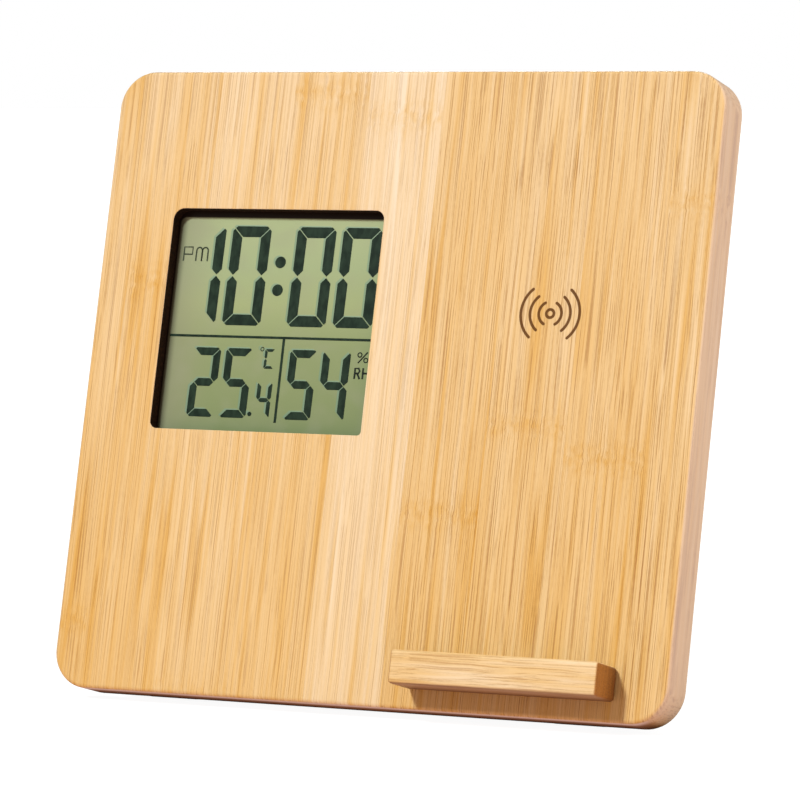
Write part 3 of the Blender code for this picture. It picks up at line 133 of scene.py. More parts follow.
class Wire:
    """A socket that Python's operators work on: each adds a Math node."""

    def __init__(self, tree, socket):
        self.tree = tree
        self.socket = socket

    def maths(self, operation, *others, clamp=False):
        """One Math node's result from this socket and other sockets or numbers."""
        node = self.tree.nodes.new("ShaderNodeMath")
        node.operation = operation
        node.use_clamp = clamp
        for slot, value in zip(node.inputs, (self, *others)):
            if isinstance(value, Wire):
                self.tree.links.new(value.socket, slot)
            else:
                slot.default_value = value
        return Wire(self.tree, node.outputs[0])

    def __add__(self, other):
        return self.maths("ADD", other)

    def __sub__(self, other):
        return self.maths("SUBTRACT", other)

    def __mul__(self, other):
        return self.maths("MULTIPLY", other)

    def __truediv__(self, other):
        return self.maths("DIVIDE", other)

    def __pow__(self, other):
        return self.maths("POWER", other)

    def __abs__(self):
        return self.maths("ABSOLUTE")

    def __rsub__(self, other):
        return self * -1.0 + other

    def __rtruediv__(self, other):
        return self ** -1.0 * other

    __radd__ = __add__
    __rmul__ = __mul__

    def floor(self):
        """The whole number just below."""
        return self.maths("FLOOR")

    def over(self, edge):
        """1 above this edge, and 0 below it."""
        return self.maths("GREATER_THAN", edge)

    def least(self, other):
        """The smaller of the two."""
        return self.maths("MINIMUM", other)

    def most(self, other):
        """The larger of the two."""
        return self.maths("MAXIMUM", other)

    def rise(self, low, high):
        """0 before the first end and 1 after the second. Between them it is a smooth step:
        three times the share's square, less twice its cube."""
        share = ((self - low) / (high - low)).maths("MULTIPLY", 1.0, clamp=True)
        return share * share * (3.0 - 2.0 * share)


class Nodes:
    """A node tree, with nodes that are added as they are needed."""

    def __init__(self, tree):
        self.tree = tree

    def put(self, node, socket, value):
        """A number, colour or wire on a node's socket."""
        slot = node.inputs[socket]
        if isinstance(value, Wire):
            self.tree.links.new(value.socket, slot)
        else:
            slot.default_value = (*value, 1.0) if slot.type == "RGBA" else value

    def node(self, kind, settings, values, output=0):
        """Any other node. Its settings are set first, a ramp's stops among them."""
        node = self.tree.nodes.new("ShaderNode" + kind)
        holder = node.color_ramp if kind == "ValToRGB" else node
        for name, value in settings.items():
            if name != "stops":
                setattr(holder, name, value)
        stops = settings.get("stops", [])
        for _ in stops[2:]:
            holder.elements.new(1.0)
        for number, (place, colour) in enumerate(stops):
            holder.elements[number].position = place
            holder.elements[number].color = (*colour, 1.0)
        for socket, value in values.items():
            self.put(node, socket, value)
        return Wire(self.tree, node.outputs[output])


class Finish(Nodes):
    """A material for one kind of surface."""

    def __init__(self, name, **values):
        self.material = bpy.data.materials.new(name)
        self.material.use_nodes = True
        super().__init__(self.material.node_tree)
        self.shader = self.tree.nodes["Principled BSDF"]
        for socket, value in values.items():
            self.set(socket.replace("_", " "), value)

    def set(self, socket, value):
        """A number, colour or wire on a socket of the surface itself."""
        self.put(self.shader, socket, value)

    def mix(self, share, first, second, blend="MIX"):
        """A colour between two others, or the first one blended with the second. Of a Mix
        node's sockets for its kinds of value, 6 and 7 take colours, and output 2 gives one."""
        return self.node("Mix", {"data_type": "RGBA", "blend_type": blend, "clamp_factor": True},
                         {0: share, 6: first, 7: second}, output=2)

    def place(self):
        """X, Y and Z in the board's own axes, in millimetres."""
        world = self.node("TexCoord", {}, {}, output="Object")
        board = self.node("Mapping", {"vector_type": "TEXTURE"},
                          {"Vector": world, "Location": tuple(lower_edge @ upright),
                           "Rotation": (-lean, 0, 0), "Scale": (MM, MM, MM)})
        return [self.node("SeparateXYZ", {}, {0: board}, output=axis) for axis in range(3)]

    def noise(self, x, y, z, detail=2.0):
        """Soft noise round 0.5. A blotch is about 1 unit of each coordinate wide."""
        spot = self.node("CombineXYZ", {}, {0: x, 1: y, 2: z})
        return self.node("TexNoise", {}, {"Vector": spot, "Scale": 1.0, "Detail": detail,
                                          "Roughness": 0.5})

    def facing(self, axis):
        """How far the surface faces along one of the board's axes: -1 to 1."""
        normal = self.node("NewGeometry", {}, {}, output="Normal")
        return self.node("VectorMath", {"operation": "DOT_PRODUCT"},
                         {0: normal, 1: tuple(np.eye(3)[axis] @ upright)}, output="Value")

    def relief(self, height, depth):
        """Bumps: a height of 1 stands this many millimetres proud."""
        self.set("Normal", self.node("Bump", {}, {"Height": height, "Distance": depth * MM}))

    def cover(self, *pieces):
        """Give these pieces this finish alone."""
        for piece in pieces:
            piece.data.materials.clear()
            piece.data.materials.append(self.material)


# The table looks white from the camera. What the object sees of it is weaker: warm in
# front, nearly dark under the board's edge and grey behind it.
FLOOR_WIDTH = 60.0          # metres
WHITE = (1.0, 1.0, 1.0)
FRONT_GLOW = (0.92, 0.60, 0.55)
# Painted shade: the glow is nearly dark under the board's edge, in place of the shadow between the
# board's foot and the table.
UNDER_GLOW = (0.04, 0.03, 0.02)
REAR_GLOW = (0.42, 0.42, 0.42)
UNDER_BOARD = (2.0, 10.0)   # millimetres behind the board's foot, over which it darkens
BEHIND_BOARD = (20.0, 60.0)

bpy.ops.mesh.primitive_plane_add(size=FLOOR_WIDTH)
floor = bpy.context.object
floor.name = "floor"
table = Finish("white_table", Roughness=0.9, Base_Color=(0.10, 0.10, 0.10),
               Emission_Strength=0.94)
seen = table.node("LightPath", {}, {}, output="Is Camera Ray")
spot = table.node("TexCoord", {}, {}, output="Object")
depth = table.node("SeparateXYZ", {}, {0: spot}, output="Y")
foot = float((lower_edge @ upright)[1])
under, behind = (depth.rise(foot + first * MM, foot + last * MM)
                 for first, last in (UNDER_BOARD, BEHIND_BOARD))
glow = table.mix(under, FRONT_GLOW, UNDER_GLOW)
glow = table.mix(behind, glow, REAR_GLOW)
table.set("Emission Color", table.mix(seen, glow, WHITE))
table.cover(floor)


def sun(name, comes_from, strength, softness, colour):
    """Even light from one direction. Softness is the width of its source in degrees."""
    data = bpy.data.lights.new(name, "SUN")
    data.energy = strength
    data.angle = math.radians(softness)
    data.color = colour
    lamp = bpy.data.objects.new(name, data)
    lamp.rotation_euler = Vector(comes_from).to_track_quat("Z", "Y").to_euler()
    bpy.context.scene.collection.objects.link(lamp)
    return lamp


sun("key_light", (-0.22, -0.722, 0.655), strength=3.62, softness=7.0,
    colour=(0.876, 0.990, 1.0))
side_light = sun("side_light", (0.92, 0.12, 0.36), strength=2.5, softness=25.0,
                 colour=(1.0, 0.95, 0.93))
side_light.visible_glossy = False       # it would glare on the top edge
sun("back_light", (-0.45, 0.80, 0.45), strength=1.2, softness=15.0, colour=WHITE)

studio = bpy.data.worlds.new("studio")
bpy.context.scene.world = studio
studio.use_nodes = True
room = Nodes(studio.node_tree)
wall = room.tree.nodes["Background"]
room.put(wall, "Color", WHITE)
white_wall = Wire(room.tree, wall.outputs[0])
soft_fill = room.node("Background", {}, {"Color": (1.0, 0.95, 0.90), "Strength": 0.44})
direct = room.node("LightPath", {}, {}, output="Is Camera Ray")
either = room.node("MixShader", {}, {0: direct, 1: soft_fill, 2: white_wall})
room.put(room.tree.nodes["World Output"], "Surface", either)


# Front board
# A board glued from upright bamboo strips, rounded at its edges, with a window cut by a
# laser that chars its walls, and the charging mark burnt into its face.

EDGE_ROUND = 0.9
CORNER = 8.5
WINDOW_CORNERS = np.array([2.1, 2.6, 1.7, 0.9])
WINDOW_MARGIN = 3.4         # glass hidden behind the wood on each side
POCKET_CLEAR = 0.3
POCKET_CORNER = 3.0
ARRIS = 0.12                # the laser leaves the window's edge nearly sharp
HOLD = 0.05                 # strip beside a flat face that keeps its shading flat


def grown(span, by):
    """A lowest and a highest place, each moved outwards by the same length."""
    return (span[0] - by, span[1] + by)


def rounded_loop(x, z, radii, per_corner=14):
    """Loop round a rectangle. A corner is a quarter circle: its centre, plus the radius
    times the cosine and the sine of the turn. One radius serves all four corners, or
    four serve the upper right, upper left, lower left and lower right."""
    turn = np.linspace(0, math.pi / 2, per_corner)
    quarters = []
    sides = ((1, 1), (0, 1), (0, 0), (1, 0))
    for number, (radius, (side_x, side_z)) in enumerate(zip(np.broadcast_to(radii, 4), sides)):
        angle = turn + number * math.pi / 2
        centre_x = x[side_x] + radius * (1 - 2 * side_x)
        centre_z = z[side_z] + radius * (1 - 2 * side_z)
        quarters.append(np.stack([centre_x + radius * np.cos(angle),
                                  centre_z + radius * np.sin(angle)], -1))
    return np.concatenate(quarters)


def at_depth(loop, y):
    """A flat loop of X and Z, set at one depth Y."""
    return np.stack([loop[:, 0], np.full(len(loop), y), loop[:, 1]], -1)


def rounding(radius, steps=6):
    """Insets and depths of a quarter circle from the face, inset by a radius, to the side:
    the radius less its sine and its cosine."""
    turn = np.linspace(0, math.pi / 2, steps + 1)
    return np.stack([radius * (1 - np.sin(turn)), radius * (1 - np.cos(turn))], -1)


def piece_from(name, points, faces, body, sharp=35.0):
    """A piece at the origin, with its faces outwards, that is smooth but for sharp edges."""
    mesh = bpy.data.meshes.new(name)
    mesh.from_pydata(to_world(points).tolist(), [], faces)
    shape = bmesh.new()
    shape.from_mesh(mesh)
    bmesh.ops.recalc_face_normals(shape, faces=shape.faces)
    shape.to_mesh(mesh)
    shape.free()
    mesh.shade_smooth()
    mesh.set_sharp_from_angle(angle=math.radians(sharp))
    piece = bpy.data.objects.new(name, mesh)
    bpy.context.scene.collection.objects.link(piece)
    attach(piece, body)
    return piece


def loft(name, sections, body, closed_round=False):
    """Skin over a row of equal loops. It is closed by joining the last loop to the first,
    or else by a flat face on each end."""
    sections = np.asarray(sections)
    count, around = sections.shape[:2]
    row = np.arange(count if closed_round else count - 1)[:, None]
    step = np.arange(around)[None, :]
    beyond, beside = (row + 1) % count, (step + 1) % around
    quads = np.stack([row * around + step, row * around + beside,
                      beyond * around + beside, beyond * around + step], -1)
    faces = quads.reshape(-1, 4).tolist()
    if not closed_round:
        faces += [list(range(around))[::-1], list(range((count - 1) * around, count * around))]
    return piece_from(name, sections.reshape(-1, 3), faces, body)


glass_x, glass_y, glass_z = spans("lcd_glass")
tray_x, _, tray_z = spans("display_frame")
window_x = grown(glass_x, -WINDOW_MARGIN)
window_z = grown(glass_z, -WINDOW_MARGIN)
skin = glass_y[0] - POCKET_CLEAR
back = panel_y[1]


def window_loop(outset, y):
    """The window's outline, moved outwards into the wood."""
    loop = rounded_loop(grown(window_x, outset), grown(window_z, outset), WINDOW_CORNERS + outset)
    return at_depth(loop, y)


def outer_loop(inset, y):
    """The board's outline, moved inwards."""
    loop = rounded_loop(grown(panel_x, -inset), grown(panel_z, -inset), CORNER - inset)
    return at_depth(loop, y)


def pocket_loop(y):
    """Outline of the pocket in the back that takes the display's tray."""
    loop = rounded_loop(grown(tray_x, POCKET_CLEAR), grown(tray_z, POCKET_CLEAR), POCKET_CORNER)
    return at_depth(loop, y)


profile = [window_loop(0, skin), window_loop(0, ARRIS + HOLD)]
profile += [window_loop(outset, depth) for outset, depth in rounding(ARRIS, 2)[::-1]]
profile += [window_loop(ARRIS + HOLD, 0), outer_loop(EDGE_ROUND + HOLD, 0)]
profile += [outer_loop(inset, depth) for inset, depth in rounding(EDGE_ROUND)]
profile += [outer_loop(0, EDGE_ROUND + HOLD), outer_loop(0, back - EDGE_ROUND - HOLD)]
profile += [outer_loop(inset, back - depth) for inset, depth in rounding(EDGE_ROUND)[::-1]]
profile += [outer_loop(EDGE_ROUND + HOLD, back), pocket_loop(back), pocket_loop(skin)]
board = loft("bamboo_board", profile, "body", closed_round=True)
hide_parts("front_panel")

# Strips from left to right, with their tone, how strongly their fibres show, and where
# the cane's joint lies, as a share of the board's height.
STRIP = 18.8
FIRST_SEAM = -67.5
STRIP_TONES = (0.43, 0.41, 0.33, 0.39, 0.20, 0.44, 0.39, 0.42, 0.39)
STRIP_FIBRES = (0.72, 0.66, 0.67, 0.62, 0.50, 0.88, 0.96, 0.87, 1.0)
CANE_JOINTS = (0.10, 0.66, -1.0, 0.97, 0.93, 0.31, 0.45, 0.40, 0.80)
PAINTED_SHADE_BELOW = 0.16         # painted shade: the board is a little darker towards its bottom
STRIP_APART = 17.3          # how far apart two strips lie in the noise
BAMBOO_TONES = [(0.0, (0.688, 0.560, 0.436)), (0.20, (0.656, 0.482, 0.309)),
                (0.45, (0.614, 0.396, 0.182)), (0.70, (0.571, 0.319, 0.091)),
                (0.95, (0.526, 0.251, 0.032))]
FIBRE_SHADES = [(0.28, (1.0, 1.0, 1.0)), (0.47, (0.945, 0.93, 0.885)),
                (0.58, (0.81, 0.745, 0.63)), (0.74, (0.53, 0.39, 0.25))]
GRAIN_DEPTH = 0.05

# Streaks and blotches in the wood: their width, their length and their detail.
BROAD_BAND = (4.2, 110.0, 2.0)
NARROW_BAND = (1.25, 60.0, 2.0)
STAIN = (1.9, 60.0, 0.0)
LONG_FIBRE = (0.24, 55.0, 1.0)
SHORT_FIBRE = (0.24, 16.0, 1.0)
PORE = (0.35, 1.4, 1.0)
TANGLE = (1.7, 2.4, 3.0)
PATCH = (6.0, 22.0, 2.0)
LAYER = 1.5                 # depth in the wood over which they change
DRIFT_LENGTH = 45.0
DRIFT_DEPTH = 60.0
JOINT_REACH = 4.5           # a cane's joint shows this far up and down
JOINT_WANDER = 16.0


def bamboo(finish, across, through, along, tone, strength, joint_at, own):
    """Colour and relief of bamboo: noise stretched along the strip, wide bands in yellow
    to orange under fine fibres that only darken them. The fibres drift sideways slowly,
    are long in one patch and short in the next, and tangle near the cane's joint."""
    def blotches(place, layer, width, length, detail):
        """Noise round 0.5, in blotches of this width and length."""
        return finish.noise(place / width + own, layer, along / length, detail)

    drift = finish.noise(own, along / DRIFT_LENGTH, through / DRIFT_DEPTH) - 0.5
    from_joint = (along - joint_at + drift * JOINT_WANDER) / JOINT_REACH
    joint = 1.0 / (from_joint * from_joint + 1.0) ** 2.0
    tangle = blotches(across, through / TANGLE[0], *TANGLE) - 0.5
    bent = across + drift * 0.7 + joint * tangle * 1.4
    layer = through / LAYER
    broad = blotches(bent, layer, *BROAD_BAND) - 0.5
    band = blotches(bent, layer, *NARROW_BAND) - 0.5
    stain = blotches(bent, layer, *STAIN).rise(0.56, 0.74)
    tones = tone + broad * 0.44 + band * 0.48 + stain * 0.16 + joint * (tangle * 0.65 + 0.08)
    long_fibre = blotches(bent, layer, *LONG_FIBRE)
    short_fibre = blotches(bent, layer, *SHORT_FIBRE)
    patch = blotches(across, layer, *PATCH).rise(0.46, 0.66)
    pores = blotches(bent, layer, *PORE) - 0.5
    fibre = long_fibre + (short_fibre - long_fibre) * patch + pores * 0.13
    colour = finish.node("ValToRGB", {"stops": BAMBOO_TONES}, {0: tones})
    shade = finish.node("ValToRGB", {"stops": FIBRE_SHADES}, {0: fibre})
    grain = 1.0 - fibre.rise(0.50, 0.72)
    return finish.mix(strength, colour, shade, blend="MULTIPLY"), grain


def one_of(finish, number, values):
    """The value that stands at this number, counted from 0, in a list of values."""
    stops = [((place - 0.5) / len(values), (value,) * 3) for place, value in enumerate(values)]
    stops[0] = (0.0, stops[0][1])
    share = number / len(values)
    return finish.node("ValToRGB", {"interpolation": "CONSTANT", "stops": stops}, {0: share})


wood = Finish("bamboo", Specular_IOR_Level=0.2)
x, y, z = wood.place()
strip = ((x - FIRST_SEAM) / STRIP + 1.0).floor()
joint_height = one_of(wood, strip, CANE_JOINTS) * panel_z[1]
# Painted shade makes the strips a little darker towards the board's bottom.
tone = one_of(wood, strip, STRIP_TONES) + PAINTED_SHADE_BELOW * (1.0 - z / panel_z[1])
fibres = one_of(wood, strip, STRIP_FIBRES)
colour, grain = bamboo(wood, x, y, z, tone, fibres, joint_height, strip * STRIP_APART)

SIDE_TINT = (0.555, 0.430, 0.345)
SIDE_TINTED = 0.6           # share of that tint on the sides
PALE_ENDS = ((0.500, 0.360, 0.245), (0.300, 0.170, 0.080))
# Brown end grain, darkened as painted shade on the board's lower ends, and on the bar's underside
# and ends towards the board.
BROWN_ENDS_AND_SHADE = ((0.280, 0.108, 0.020), (0.120, 0.040, 0.007))


def end_grain(finish, across, through, tone, colours):
    """Cut fibre ends: fine dark dots in loose rows, from the first colour to the second."""
    dots = finish.noise(across / 0.35, through / 0.35, 0.0, detail=1.0).rise(0.45, 0.68)
    rows = finish.noise(across / 7.0, through / 0.9, 0.0).rise(0.35, 0.65)
    return finish.mix(dots * 0.30 + rows * 0.20 + tone * 0.80, *colours)


sideways = abs(wood.facing(0)).rise(0.25, 0.85)
upwards = wood.facing(2).rise(0.55, 0.9)
downwards = wood.facing(2).rise(-0.80, -0.98)
upper_ends = end_grain(wood, x, y, tone, PALE_ENDS)
# Painted light and shade on the lower ends: pale at the front, as if lit by the table, and dark
# towards the back, where the board meets the table.
shaded_lower_ends = wood.mix(y.rise(0.8, 4.5), SIDE_TINT, end_grain(wood, x, y, tone, BROWN_ENDS_AND_SHADE))
colour = wood.mix(sideways * SIDE_TINTED, colour, SIDE_TINT)
colour = wood.mix(upwards, colour, upper_ends)
colour = wood.mix(downwards, colour, shaded_lower_ends)

# The mark is a ring between three arcs on each side.
MARK_RING = 0.9
MARK_ARCS = ((2.7, 60.0), (4.8, 50.5), (7.0, 49.5))     # radius, and half the angle it spans
MARK_LINE = 0.64
MARK_BLUR = 0.08
BURNT = (0.095, 0.032, 0.004)
BURNT_SHARE = 0.96
BURNT_DEEPER = 2.0          # than the grain
coil_x, coil_y, coil_z = spans("charging_coil")


def from_mark(across, along):
    """Distance from the nearest line of the mark. Past an arc's end it is the distance
    from that end, so that the ends are round."""
    side = abs(across - middle(coil_x))
    rise = abs(along - middle(coil_z))
    radius = (side * side + rise * rise) ** 0.5
    nearest = abs(radius - MARK_RING)
    for arc_radius, spread in MARK_ARCS:
        cos, sin = math.cos(math.radians(spread)), math.sin(math.radians(spread))
        end_side = side - arc_radius * cos
        end_rise = rise - arc_radius * sin
        to_end = (end_side * end_side + end_rise * end_rise) ** 0.5
        past_end = (rise * cos - side * sin).over(0.0)
        nearest = nearest.least(past_end * to_end + (1.0 - past_end) * abs(radius - arc_radius))
    return nearest


on_line = from_mark(x, z).rise(MARK_LINE / 2 + MARK_BLUR, MARK_LINE / 2 - MARK_BLUR)
burnt = on_line * y.rise(0.6, 0.2)      # on the face alone
wood.set("Base Color", wood.mix(burnt * BURNT_SHARE, colour, BURNT))
wood.set("Roughness", 0.52 + burnt * 0.3)
wood.relief(grain - burnt * BURNT_DEEPER, GRAIN_DEPTH)

SOOT_COLOURS = ((0.009, 0.0045, 0.0025), (0.026, 0.011, 0.004))
WALL_RINGS = 2              # the window's walls are the skin's first rings of faces
char = Finish("charred_bamboo", Roughness=0.8, Specular_IOR_Level=0.1)
x, y, z = char.place()
soot = char.noise(x / 0.7, y / 0.9, z / 0.7, detail=3.0)
char.set("Base Color", char.mix(soot.rise(0.35, 0.75), *SOOT_COLOURS))
char.relief(soot, 0.08)
wood.cover(board)
board.data.materials.append(char.material)
finish_of_face = np.zeros(len(board.data.polygons), dtype=np.int32)
finish_of_face[:WALL_RINGS * len(profile[0])] = 1
board.data.polygons.foreach_set("material_index", finish_of_face)


# Phone ledge
# A bamboo bar with level fibres and rounded edges, held by two screws from behind. A phone
# stands on it. Its cut ends are brown, and painted shade darkens it where it meets the board.

LEDGE_ROUND = 0.8
LEDGE_CORNER = 1.02 * LEDGE_ROUND       # more than any inset, so that no corner is lost
ledge_x, ledge_y, ledge_z = spans("phone_ledge")


def ledge_loop(inset, x):
    """Rounded outline of the bar, seen along it, at one place on its length."""
    loop = rounded_loop(grown(ledge_y, -inset), grown(ledge_z, -inset), LEDGE_CORNER - inset,
                        per_corner=8)
    return np.stack([np.full(len(loop), x), loop[:, 0], loop[:, 1]], -1)


end_round = rounding(LEDGE_ROUND)
profile = [ledge_loop(inset, ledge_x[0] + depth) for inset, depth in end_round]
profile += [ledge_loop(0, ledge_x[0] + LEDGE_ROUND + HOLD)]
profile += [ledge_loop(0, ledge_x[1] - LEDGE_ROUND - HOLD)]
profile += [ledge_loop(inset, ledge_x[1] - depth) for inset, depth in end_round[::-1]]
ledge = loft("bamboo_ledge", profile, "body")
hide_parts("phone_ledge")

SHORTER_GRAIN = 2.5         # the bar's fibres are cut short
LEDGE_TONE = 0.42
LEDGE_FIBRES = 0.62
LEDGE_JOINT = ledge_x[0] * SHORTER_GRAIN - 60.0         # the cane's joint is off the bar
LEDGE_OWN = 5.3             # where the bar lies in the noise
# Painted shadow in the gap where the bar's cut ends meet the board.
PAINTED_GAP_SHADOW = (0.010, 0.004, 0.002)
bar_wood = Finish("bamboo_bar", Roughness=0.5, Specular_IOR_Level=0.2)
x, y, z = bar_wood.place()
colour, grain = bamboo(bar_wood, z, y, x * SHORTER_GRAIN, LEDGE_TONE, LEDGE_FIBRES,
                       LEDGE_JOINT, LEDGE_OWN)
cut_end = abs(bar_wood.facing(0)).rise(0.35, 0.85)
# Painted shade: the bar's underside and cut ends darken towards the board.
shade_into_corner = y.rise(-9.0, -0.5)
shaded_underside = bar_wood.facing(2).rise(-0.35, -0.85) * (shade_into_corner * 0.35 + 0.6)
colour = bar_wood.mix(shaded_underside, colour, BROWN_ENDS_AND_SHADE[1])
colour = bar_wood.mix(cut_end, colour, end_grain(bar_wood, z, y, shade_into_corner, BROWN_ENDS_AND_SHADE))
# Painted shadow: a black line on the cut ends where they meet the board.
gap_shadow = y.rise(-1.5, -0.4) * cut_end
bar_wood.set("Base Color", bar_wood.mix(gap_shadow, colour, PAINTED_GAP_SHADOW))
bar_wood.relief(grain, GRAIN_DEPTH)
bar_wood.cover(ledge)


# Display glass
# Liquid crystal between two glasses, in front of a grey-green mirror foil. The dark
# segments lie in the front glass, and the foil shows a faint image of each beside it.

INK = 0.03                  # height of a segment on the glass
LEAN_OF_DIGITS = 0.012
CLIPPED = 0.42              # share of a stroke that is clipped off an outer corner


def digit(letters, left, top, width, height, stroke, gap=0.15):
    """Outlines of a digit's segments, a to g, clockwise from the top with g across the
    middle. Neighbours are mitred with a gap between them, and outer corners are clipped."""
    w, h, s, g, c = width, height, stroke, gap, CLIPPED * stroke
    half = h / 2
    near, far = (c + g) / 2, (c - g) / 2
    bar = np.array([(near, far), (c, 0), (w - c, 0), (w - near, far), (w - s - g, s), (s + g, s)])
    post = np.array([(far, near), (s, s + g), (s, half - s / 2 - g), (s / 2, half - g),
                     (0, half - s / 2 - g), (0, c)])
    waist = np.array([(s / 2 + g, half), (s + g, half - s / 2), (w - s - g, half - s / 2),
                      (w - s / 2 - g, half), (w - s - g, half + s / 2), (s + g, half + s / 2)])
    segments = {"a": bar, "b": post * (-1, 1) + (w, 0), "c": (w, h) - post,
                "d": bar * (1, -1) + (0, h), "e": post * (1, -1) + (0, h),
                "f": post, "g": waist}
    slant = np.array([[1, 0], [-LEAN_OF_DIGITS, 1]])
    return [(segments[letter] - (0, h)) @ slant + (left, top + h) for letter in letters]


def line(points, width):
    """Outline of a line of even width: half of it to each side of its points, square to
    the way that the line runs."""
    points = np.asarray(points, dtype=float)
    way = np.gradient(points, axis=0)
    side = np.stack([-way[:, 1], way[:, 0]], -1)
    side *= width / 2 / np.linalg.norm(side, axis=1, keepdims=True)
    return np.concatenate([points + side, (points - side)[::-1]])


def arc(centre, radius, first, last, count=13):
    """Points at equal turns round a centre, from one angle to another."""
    turn = np.radians(np.linspace(first, last, count))
    return np.stack([centre[0] + radius * np.cos(turn), centre[1] + radius * np.sin(turn)], -1)


def ring(centre, radius, width):
    """A ring, as two half rings."""
    return [line(arc(centre, radius, start, start + 180), width) for start in (0, 180)]


def disc(centre, radius):
    """A round dot: an arc of a whole turn without its last point, which is its first."""
    return arc(centre, radius, 0, 360, 25)[:-1]


def rectangle(x, z):
    """Four corners, from two places along X and two along Z."""
    return np.array([(x[0], z[0]), (x[1], z[0]), (x[1], z[1]), (x[0], z[1])])


def shrunk(outline, inset):
    """The outline with each corner moved towards the middle by an inset."""
    away = outline - outline.mean(0)
    size = np.linalg.norm(away, axis=1, keepdims=True)
    return outline.mean(0) + away * (1 - inset / np.maximum(size, 1.5 * abs(inset)))


def raised(name, outlines, foot_y, face_y, body, soft=0.02):
    """Closed flat plates with these outlines. Each one's face is a little smaller than
    its foot. The attribute fade runs from 0 round the foot to 1 on the face."""
    points, faces, fades = [], [], []
    count = 0
    for outline in outlines:
        edge = len(outline)
        points += [at_depth(outline, foot_y), at_depth(shrunk(outline, soft), face_y)]
        fades += [np.zeros(edge), np.ones(edge)]
        step = np.arange(edge)
        beside = (step + 1) % edge
        faces += (count + np.stack([step, beside, beside + edge, step + edge], -1)).tolist()
        faces += [(count + step[::-1]).tolist(), (count + edge + step).tolist()]
        count += 2 * edge
    piece = piece_from(name, np.concatenate(points), faces, body)
    fade = piece.data.attributes.new("fade", "FLOAT", "POINT")
    fade.data.foreach_set("value", np.concatenate(fades))
    return piece


# Places on the display are measured to the right and down from the board's top left corner.
ZERO, ONE, TWO, FOUR, FIVE = "abcdef", "bc", "abdeg", "bcfg", "acdfg"
TIME = {"top": 35.3, "width": 9.8, "height": 22.85, "stroke": 2.5}
READING = {"top": 63.4, "width": 6.9, "height": 15.9, "stroke": 1.8, "gap": 0.12}
TENTH = {"top": 71.0, "width": 3.7, "height": 8.1, "stroke": 0.95, "gap": 0.08}
CELSIUS = {"top": 63.4, "width": 2.5, "height": 4.5, "stroke": 0.62, "gap": 0.06}
DEGREE_RING = {"radius": 0.42, "width": 0.18}
COLON_DOT = 1.35
DECIMAL_POINT = 0.52
bold = []
for lit, left in ((ONE, 19.75), (ZERO, 31.3), (ZERO, 47.75), (ZERO, 59.35)):
    bold += digit(lit, left, **TIME)
for lit, left in ((TWO, 24.85), (FIVE, 33.1), (FIVE, 49.4), (FOUR, 57.7)):
    bold += digit(lit, left, **READING)
bold += digit(FOUR, 42.15, **TENTH) + digit("adef", 43.15, **CELSIUS)
bold += [disc((44.5, 43.5), COLON_DOT), disc((44.5, 49.9), COLON_DOT)]
bold += [disc((40.93, 78.3), DECIMAL_POINT)] + ring((42.4, 63.46), **DEGREE_RING)
rules = [rectangle((18.3, 73.5), (60.5, 61.05)), rectangle((47.27, 47.88), (61.0, 80.1))]

THIN_LINE = 0.32
LETTER_P = [(19.5, 43.55), (19.5, 40.3), (21.7, 40.3), (21.7, 42.0), (19.6, 42.0)]
HUMP = 0.74                 # radius of each of the two humps of the letter beside it
thin = [line(LETTER_P, THIN_LINE)]
for left in (22.7, 24.2):
    hump = arc((left + HUMP, 41.1), HUMP, 180, 360, 9)
    thin.append(line([(left, 43.55), *hump, (left + 2 * HUMP, 43.55)], THIN_LINE))

PERCENT_RING = {"radius": 0.5, "width": 0.26}
PERCENT_LINE = 0.3
UNIT_LINE = 0.44
LETTER_R = ([(66.2, 69.6), (66.2, 67.2), (67.1, 67.2), (67.4, 67.8), (67.1, 68.35), (66.3, 68.35)],
            [(66.8, 68.35), (67.5, 69.6)])
LETTER_H = ([(68.2, 67.1), (68.2, 69.6)], [(68.2, 68.3), (69.6, 68.3)],
            [(69.6, 67.1), (69.6, 69.6)])
units = ring((67.0, 64.15), **PERCENT_RING) + ring((68.6, 65.35), **PERCENT_RING)
units += [line([(66.7, 66.0), (68.9, 63.5)], PERCENT_LINE)]
units += [line(points, UNIT_LINE) for points in LETTER_R + LETTER_H]


def on_glass(outlines, shift=(0.0, 0.0)):
    """From places right of and below the board's top left corner, to X and Z."""
    corner = np.array([panel_x[0], panel_z[1]])
    return [corner + (outline + np.array(shift)) * (1, -1) for outline in outlines]


ink_face = glass_y[0] - 2 * INK


def inked(name, outlines):
    """Segments on the front of the glass."""
    return raised(name, on_glass(outlines), ink_face + INK, ink_face, "body")


IMAGE_SHIFT = (-0.50, -0.28)
IMAGE_GROWN = 0.12
IMAGE_SOFT = 0.32           # width of an image's blurred edge
GLASS_CORNER = 0.6
segments = inked("lcd_segments", bold + rules)
letters = inked("lcd_letters", thin)
unit_marks = inked("lcd_units", units)
image_outlines = on_glass([shrunk(outline, -IMAGE_GROWN) for outline in bold], IMAGE_SHIFT)
images = raised("lcd_mirror_images", image_outlines, ink_face + 2 * INK, ink_face + 1.2 * INK,
                "body", soft=IMAGE_SOFT)
slab = rounded_loop(glass_x, glass_z, GLASS_CORNER, per_corner=4)
glass = loft("lcd_slab", [at_depth(slab, depth) for depth in glass_y], "body")
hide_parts("lcd_glass")

# The foil is black along its top, and it fades softly to black at its left.
BORDER_FROM_LEFT = 17.8
SOFT_BORDER = 2.4
BORDER_FROM_TOP = 33.35
BORDER_CORNER = 1.4
BORDER_BLACK = (0.012, 0.007, 0.004)
SOFT_BLACK = (0.025, 0.017, 0.010)
